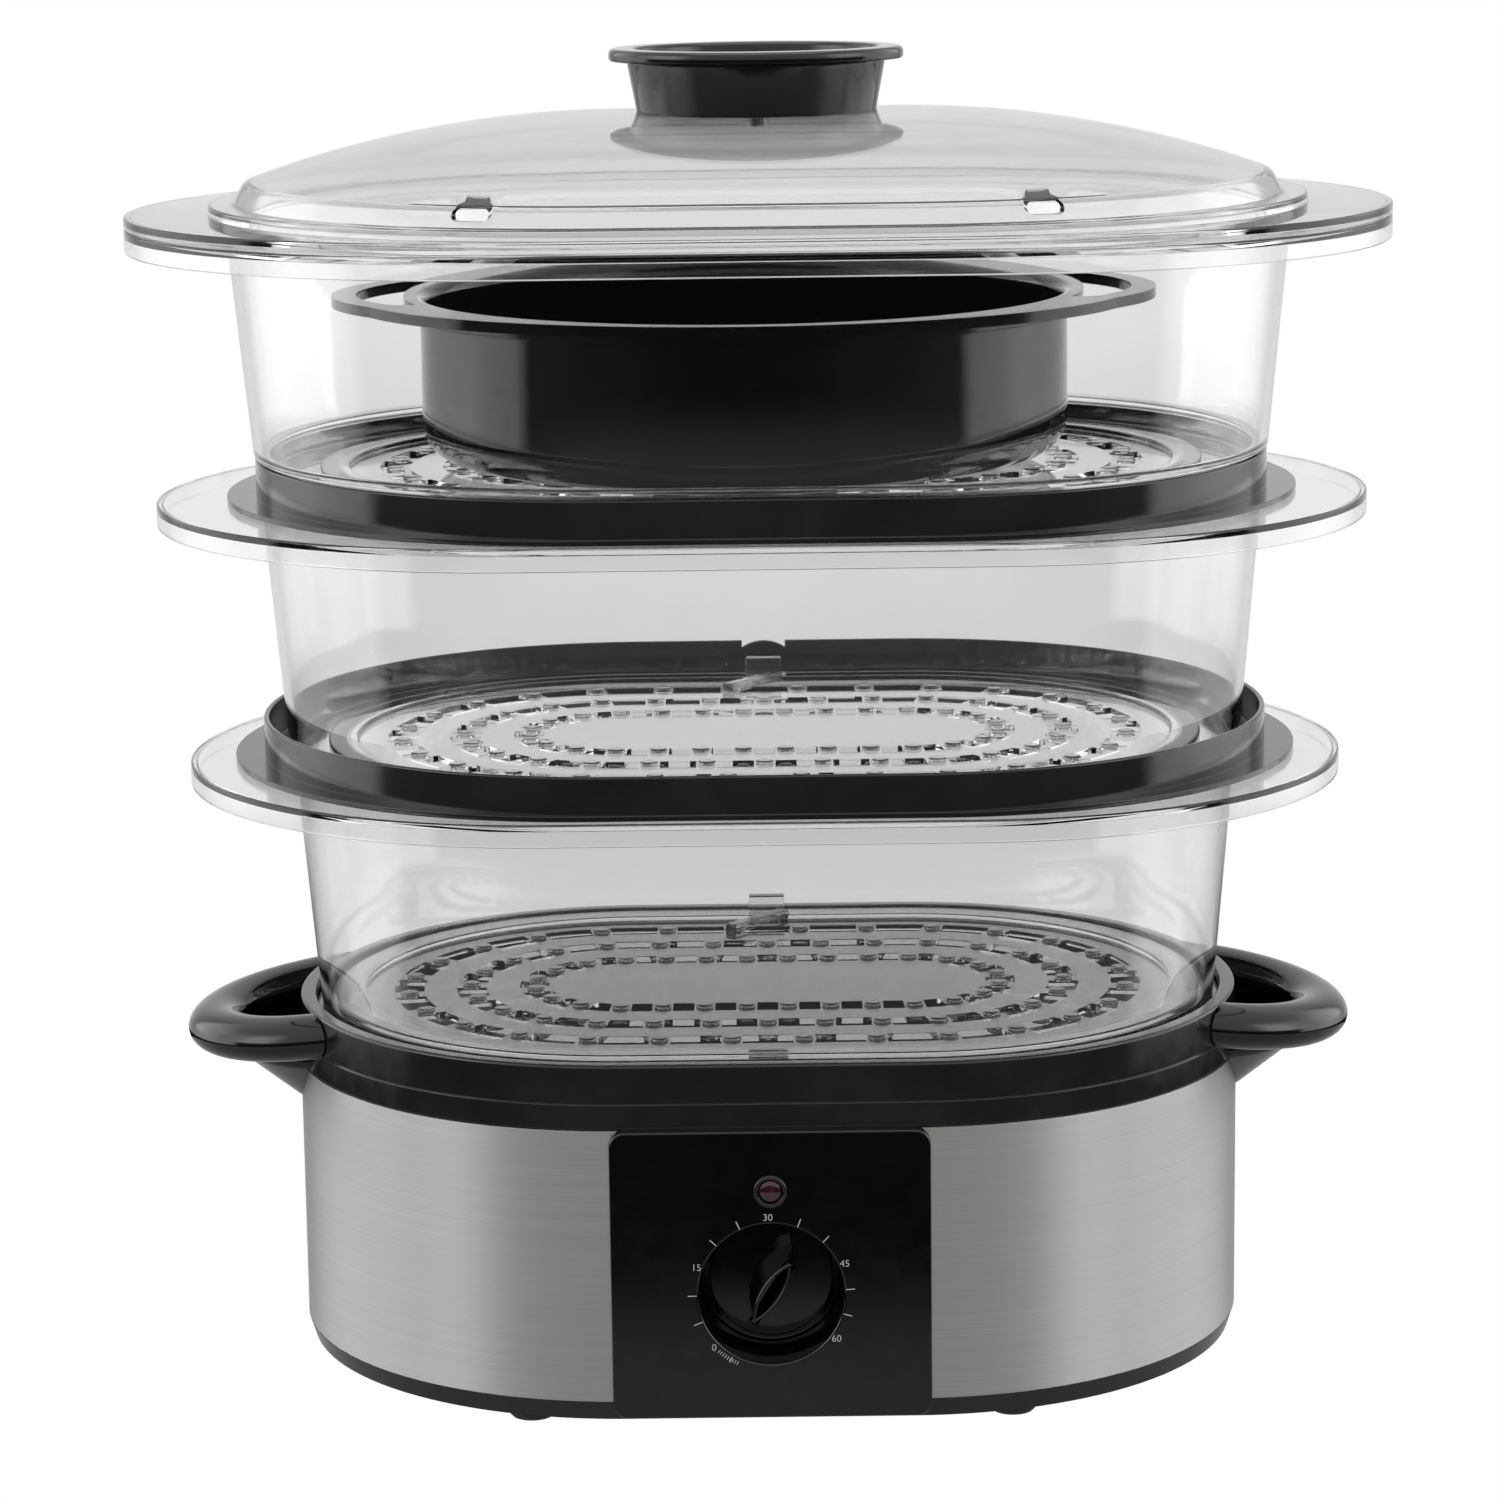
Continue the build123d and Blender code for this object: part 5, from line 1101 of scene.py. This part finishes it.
class STEAMER_OT_bowl(bpy.types.Operator):
    """Models the rice bowl with its two loops"""

    bl_idname = "steamer.bowl"
    bl_label = "Rice bowl"

    def execute(self, context):
        centre = ((low("rice_bowl", 0) + high("rice_bowl", 0)) / 2, 0, 0)
        reach = (high("rice_bowl", 0) - low("rice_bowl", 0)) / 2
        foot, top = low("rice_bowl"), high("rice_bowl")
        bottom = foot + 2.7
        under = top - 3.0

        def disc(name, radius, half_depth, start, end):
            piece = lathe(name, [(0, start), (radius, start), (radius, end), (0, end)], centre, steps=128)
            squeeze(piece, centre, radius - half_depth)
            return piece

        bowl = lathe(
            "bowl",
            [
                (0, bottom),
                (92.4, bottom, 10.0),
                (92.4, under - 2.6, 0.3),
                (96.0, under - 2.6, 0.6),
                (96.0, top),
                (90.4, top, 3.5),
                (90.4, bottom + 2.0, 8.0),
                (0, bottom + 2.0),
            ],
            centre,
            steps=128,
        )
        flange = disc("bowl_flange", 112.0, 98.5, under, top)
        cut(flange, disc("bowl_loops", reach, 78.0, under, top), "UNION")
        cut(flange, disc("bowl_mouth", 94.5, 94.5, under - 5, top + 5))
        holes = disc("finger_holes", reach - 7.0, 71.0, under - 3, top + 3)
        cut(holes, disc("hole_inside", 97.0, 97.0, under - 5, top + 5))
        cut(holes, block("hole_ends", (centre[0], 0, top), (2 * reach, 66.0, 12.0)), "INTERSECT")
        pick_edges(holes, lambda a, b: abs(a.z - b.z) > MM and abs(abs(a.y) - 33.0 * MM) < 1e-5)
        bpy.ops.mesh.bevel(offset=2.8 * MM, segments=6, affect="EDGES")
        done()
        cut(flange, holes)
        cut(bowl, flange, "UNION")
        soften(bowl, 0.55)
        feet = [
            block("bowl_foot", (centre[0] + x, y, foot + 1.6), (10.0, 5.0, 3.2)) for x in (-20, 20) for y in (-73.5, 73.5)
        ]
        for piece in feet:
            soften(piece, 0.5)
        bowl = join(bowl, *feet)
        smooth(bowl)
        hand_over(bowl, finish_for("black_gloss_plastic"), "black_gloss_plastic", "rice_bowl")
        return {"FINISHED"}


def squeeze(piece, centre, shorter, inner=20.0):
    """Turns the circles of a lathed piece into ovals whose half depth is shorter by one amount."""
    middle = Vector((centre[0] * MM, centre[1] * MM, 0))

    def reach(co):
        return round(math.hypot(co.x - middle.x, co.y - middle.y) / MM, 3)

    for radius in sorted({reach(point.co) for point in piece.data.vertices}):
        if radius > inner:
            pick(piece, lambda co: reach(co) == radius)
            bpy.ops.transform.resize(value=(1.0, (radius - shorter) / radius, 1.0), center_override=middle)
            done()


# ------------------------------------------------------------------ lid
def crown(edge_radius, crest, sphere, count=14):
    """Points of the domed crown from its edge to its middle."""
    centre = crest - sphere
    places = []
    for step in range(count + 1):
        radius = edge_radius * (1 - step / count)
        places.append((radius, centre + math.sqrt(sphere**2 - radius**2)))
    return places


class STEAMER_OT_lid(bpy.types.Operator):
    """Models the clear domed lid with its two steam vents"""

    bl_idname = "steamer.lid"
    bl_label = "Lid"

    def execute(self, context):
        s = sizes()
        half, wall = s.half_straight / MM, s.clear_wall / MM
        node = "lid_dome"
        bottom, crest = low(node), high(node)
        radius = high(node, 1)
        straight = high(node, 0) - radius
        plate, step = bottom + 3.2, bottom + 6.2
        step_radius, shoulder, crown_edge = radius - 1.4, radius - 3.6, radius - 6.8
        rise = crest - (step + 5.7)
        sphere = (crown_edge**2 + rise**2) / (2 * rise)
        edge = run_round(
            "lid_flange",
            [
                (radius - 2.1, plate - wall),
                (radius - 1.8, plate - wall, 0.2),
                (radius - 1.8, bottom, 0.3),
                (radius, bottom, 0.4),
                (radius, plate, 0.6),
                (radius - 0.8, plate),
            ],
            straight,
            closed=False,
        )
        tread_straight = 156.0 - step_radius
        tread = run_round(
            "lid_step",
            [(step_radius + 0.3, plate), (step_radius, plate, 0.2), (step_radius, step, 0.6), (step_radius - 0.9, step)],
            tread_straight,
            closed=False,
        )
        top = run_round(
            "lid_crown",
            [(shoulder + 0.5, step), (shoulder, step, 0.4)] + [(crown_edge, step + 5.7, 1.0)] + crown(crown_edge, crest, sphere)[1:],
            half,
            closed=False,
        )
        under = run_round(
            "lid_under",
            [(shoulder - wall + 0.6, plate - wall), (shoulder - wall, plate - wall, 0.4), (shoulder - wall, step - wall, 0.4)]
            + [(crown_edge - wall, crown(crown_edge - wall, crest - wall, sphere - wall)[0][1], 0.8)]
            + crown(crown_edge - wall, crest - wall, sphere - wall)[1:],
            half,
            closed=False,
        )
        lid = join(edge, tread, top, under)
        bridge(lid, (straight, radius - 0.8, plate), (tread_straight, step_radius + 0.3, plate))
        bridge(lid, (tread_straight, step_radius - 0.9, step), (half, shoulder + 0.5, step))
        bridge(lid, (straight, radius - 2.1, plate - wall), (half, shoulder - wall + 0.6, plate - wall))
        tidy(lid)
        for side in (-1, 1):
            along = 76.6 - half
            angle = math.atan2(-math.sqrt(shoulder**2 - along**2), along)
            outward = Vector((side * math.cos(angle), math.sin(angle), 0))
            vent = oval_block("vent", 5.35, 1.7, -9, 9)
            sideways = Vector((-outward.y, outward.x, 0))
            turn = Matrix((sideways, outward.cross(sideways), outward)).transposed().to_4x4()
            place = Vector((side * half, 0, 0)) + outward * shoulder + Vector((0, 0, step + 3.5))
            vent.matrix_world = Matrix.Translation(place * MM) @ turn
            cut(lid, settle(vent))
        smooth(lid, 30.0)
        # the lid's darker clear copy is painted shade
        hand_over(lid, Finish.made["clear_lid_painted_shade_finish"], "clear_plastic", node)
        return {"FINISHED"}


class STEAMER_OT_lid_handle(bpy.types.Operator):
    """Models the oval cup that lifts the lid"""

    bl_idname = "steamer.lid_handle"
    bl_label = "Lid handle"

    def execute(self, context):
        crest, top = high("lid_dome"), high("lid_handle")
        reach = high("lid_handle", 0)
        cup = lathe(
            "cup",
            [
                (0, crest - 0.2),
                (reach - 7.9, crest - 0.9, 0.5),
                (reach - 5.1, top - 3.6, 0.8),
                (reach, top - 3.5, 0.8),
                (reach, top, 1.5),
                (reach - 7.5, top, 1.3),
                (reach - 10.4, crest + 2.6, 1.6),
                (5.2, crest + 2.6, 0.5),
                (5.0, crest + 8.6, 0.9),
                (0, crest + 8.6),
            ],
            (0, 0, 0),
            steps=128,
        )
        squeeze(cup, (0, 0, 0), reach - high("lid_handle", 1))
        smooth(cup)
        hand_over(cup, finish_for("black_gloss_plastic"), "black_gloss_plastic", "lid_handle")
        return {"FINISHED"}


# ------------------------------------------------------------------ stage
# brightness of the studio round the steamer: place from 0 in front to 1 behind, and half the light
LOW_SOFTBOXES = ((0.0, 0.02), (0.26, 0.03), (0.44, 0.06), (0.475, 1.0), (0.62, 1.0), (0.72, 0.60))
HIGH_SOFTBOXES = (
    (0.0, 0.41), (0.12, 0.45), (0.24, 0.56), (0.32, 1.75), (0.40, 1.80),
    (0.46, 1.20), (0.56, 0.90), (0.62, 1.08), (0.72, 1.05), (0.77, 0.90),
)
ROOM_BEHIND = ((0.80, 0.30), (0.90, 0.40), (1.0, 0.45))


def turned_away(tree, x, y):
    """How far a direction is turned from the camera's side: 0 in front, 1 behind the steamer."""
    sideways = add_node(tree, "ShaderNodeMath", x, operation="ABSOLUTE").outputs[0]
    forwards = add_node(tree, "ShaderNodeMath", y, -1.0, operation="MULTIPLY").outputs[0]
    angle = add_node(tree, "ShaderNodeMath", sideways, forwards, operation="ARCTAN2").outputs[0]
    return add_node(tree, "ShaderNodeMath", angle, math.pi, operation="DIVIDE").outputs[0]


def grey_ramp(tree, value, stops):
    ramp = add_node(tree, "ShaderNodeValToRGB", value)
    elements = ramp.color_ramp.elements
    while len(elements) < len(stops):
        elements.new(0.5)
    for element, (position, _) in zip(elements, stops):
        element.position = position
    for element, (_, grey) in zip(elements, stops):
        element.color = (grey, grey, grey, 1.0)
    return ramp.outputs["Color"]


class STEAMER_OT_stage(bpy.types.Operator):
    """Sets the pale floor, the studio light and the camera"""

    bl_idname = "steamer.stage"
    bl_label = "Stage"

    def execute(self, context):
        scene = context.scene
        scene.view_settings.view_transform = "Standard"
        self.floor()
        self.light(scene)
        self.camera(scene)
        return {"FINISHED"}

    def floor(self):
        start_clean()
        bpy.ops.mesh.primitive_circle_add(vertices=96, radius=30.0, fill_type="NGON", location=(0, 0, -0.0002))
        floor = added("studio_floor")
        paper = bpy.data.materials.new("paper_floor")
        paper.use_nodes = True
        tree = paper.node_tree
        tree.nodes.clear()
        place = add_node(tree, "ShaderNodeTexCoord").outputs["Object"]
        away = add_node(tree, "ShaderNodeVectorMath", place, operation="LENGTH").outputs["Value"]
        # painted shade: for every ray but the camera's, the floor's own glow dims from 0.93 far out to 0.70 near the
        # steamer
        tone = add_node(tree, "ShaderNodeMapRange", away, 0.7, 2.6, 0.70, 0.93).outputs[0]
        x, y, _ = add_node(tree, "ShaderNodeSeparateXYZ", place).outputs
        # painted light: rays that arrive after a reflection see the floor glow in the softbox pattern of the studio
        around = grey_ramp(tree, turned_away(tree, x, y), LOW_SOFTBOXES + ((0.80, 0.42), (1.0, 0.42)))
        path = add_node(tree, "ShaderNodeLightPath").outputs
        mirrored = add_node(tree, "ShaderNodeMath", path["Glossy Depth"], 1.0, operation="MINIMUM").outputs[0]
        painted_shade_floor_light = add_node(tree, "ShaderNodeEmission", None, tone).outputs[0]
        painted_softbox_floor_light = add_node(tree, "ShaderNodeEmission", around, 2.0).outputs[0]
        white = add_node(tree, "ShaderNodeEmission", None, 1.0).outputs[0]
        reflected = add_node(tree, "ShaderNodeMixShader", mirrored, painted_shade_floor_light, painted_softbox_floor_light).outputs[0]
        surface = add_node(tree, "ShaderNodeMixShader", path["Is Camera Ray"], reflected, white).outputs[0]
        add_node(tree, "ShaderNodeOutputMaterial", surface)
        floor.data.materials.append(paper)
        settle(floor)
        floor.visible_glossy = False

    def light(self, scene):
        world = bpy.data.worlds.new("studio_light")
        scene.world = world
        world.use_nodes = True
        tree = world.node_tree
        tree.nodes.clear()

        def sum_of(operation, *sources):
            return add_node(tree, "ShaderNodeMath", *sources, operation=operation).outputs[0]

        def rise(value, start, end, first=0.0, last=1.0):
            return add_node(
                tree, "ShaderNodeMapRange", value, start, end, first, last, interpolation_type="SMOOTHSTEP"
            ).outputs[0]

        direction = add_node(tree, "ShaderNodeTexCoord").outputs["Generated"]
        x, y, z = add_node(tree, "ShaderNodeSeparateXYZ", direction).outputs
        turned = turned_away(tree, x, y)
        low_boxes = grey_ramp(tree, turned, LOW_SOFTBOXES + ROOM_BEHIND)
        high_boxes = grey_ramp(tree, turned, HIGH_SOFTBOXES + ROOM_BEHIND)
        low_boxes = sum_of("MULTIPLY", low_boxes, rise(z, -0.26, -0.19))
        upper = rise(z, -0.05, 0.10)
        table = rise(z, -0.303, -0.322, 0.0, 0.45)
        overhead = rise(z, 0.40, 0.72)
        under = rise(z, -0.40, -0.62)

        def towards(value, goal, share):
            return sum_of("ADD", sum_of("MULTIPLY", value, sum_of("SUBTRACT", 1.0, share)), sum_of("MULTIPLY", share, goal))

        around = sum_of("MAXIMUM", sum_of("MULTIPLY", towards(low_boxes, high_boxes, upper), 2.0), table)
        room = towards(towards(around, 1.1, overhead), 0.40, under)
        path = add_node(tree, "ShaderNodeLightPath").outputs
        # light that only passed through clear plastic sees the bright wall behind the steamer
        passed = sum_of("SUBTRACT", 1.0, sum_of("MINIMUM", path["Glossy Depth"], 1.0))
        wall = rise(turned, 0.60, 0.74, 0.0, 0.74)
        room = towards(room, sum_of("MAXIMUM", sum_of("MINIMUM", room, 0.64), wall), passed)
        bounced = sum_of("MINIMUM", sum_of("ADD", path["Glossy Depth"], path["Transmission Depth"]), 1.0)
        even = add_node(tree, "ShaderNodeBackground", None, 1.02).outputs[0]
        gloss = add_node(tree, "ShaderNodeBackground", None, room).outputs[0]
        for background in (even, gloss):
            background.node.inputs["Color"].default_value = (1.0, 1.0, 1.0, 1.0)
        add_node(tree, "ShaderNodeOutputWorld", add_node(tree, "ShaderNodeMixShader", bounced, even, gloss).outputs[0])

        light = bpy.data.lights.new("top_softbox", "AREA")
        light.shape = "RECTANGLE"
        light.size, light.size_y = 1.2, 0.7
        light.energy = 4.0
        lamp = bpy.data.objects.new("top_softbox", light)
        scene.collection.objects.link(lamp)
        lamp.location = (0.0, 0.1, 1.8)
        lamp.visible_camera = False

    def camera(self, scene):
        data = bpy.data.cameras.new("front_camera")
        data.sensor_width = 36.0
        data.lens = 113.4586
        data.clip_end = 100.0
        camera = bpy.data.objects.new("front_camera", data)
        scene.collection.objects.link(camera)
        right = Vector((0.999915188, 0.000507375, -0.0130137987))
        up = Vector((0.01265713, 0.19754437, 0.98021223))
        back = Vector((0.00306814, -0.98029382, 0.19752119))
        turn = Matrix((right, up, back)).transposed().to_4x4()
        camera.matrix_world = Matrix.Translation((-0.0000208, -1.35058504, 0.445573081)) @ turn
        scene.camera = camera


STEPS = (
    STEAMER_OT_finishes,
    STEAMER_OT_band,
    STEAMER_OT_tank,
    STEAMER_OT_handles,
    STEAMER_OT_panel,
    STEAMER_OT_lamp,
    STEAMER_OT_knob,
    STEAMER_OT_dial_print,
    STEAMER_OT_tray,
    STEAMER_OT_baskets,
    STEAMER_OT_floors,
    STEAMER_OT_rings,
    STEAMER_OT_bowl,
    STEAMER_OT_lid,
    STEAMER_OT_lid_handle,
    STEAMER_OT_stage,
)


class STEAMER_PT_panel(bpy.types.Panel):
    """Lists the steps that model the steamer"""

    bl_idname = "STEAMER_PT_panel"
    bl_label = "Food steamer"
    bl_space_type = "VIEW_3D"
    bl_region_type = "UI"
    bl_category = "Steamer"

    def draw(self, context):
        for group in (context.scene.steamer_sizes, context.scene.steamer_colours):
            box = self.layout.box()
            for name in group.bl_rna.properties.keys():
                if name not in {"rna_type", "name"}:
                    box.prop(group, name)
        for step in STEPS:
            self.layout.operator(step.bl_idname)


CLASSES = (SteamerSizes, SteamerColours, *STEPS, STEAMER_PT_panel)


def register():
    for item in CLASSES:
        bpy.utils.register_class(item)
    bpy.types.Scene.steamer_sizes = bpy.props.PointerProperty(type=SteamerSizes)
    bpy.types.Scene.steamer_colours = bpy.props.PointerProperty(type=SteamerColours)


def unregister():
    del bpy.types.Scene.steamer_colours
    del bpy.types.Scene.steamer_sizes
    for item in reversed(CLASSES):
        bpy.utils.unregister_class(item)


def main():
    register()
    for step in STEPS:
        group, name = step.bl_idname.split(".")
        getattr(getattr(bpy.ops, group), name)()


if __name__ == "__main__":
    main()
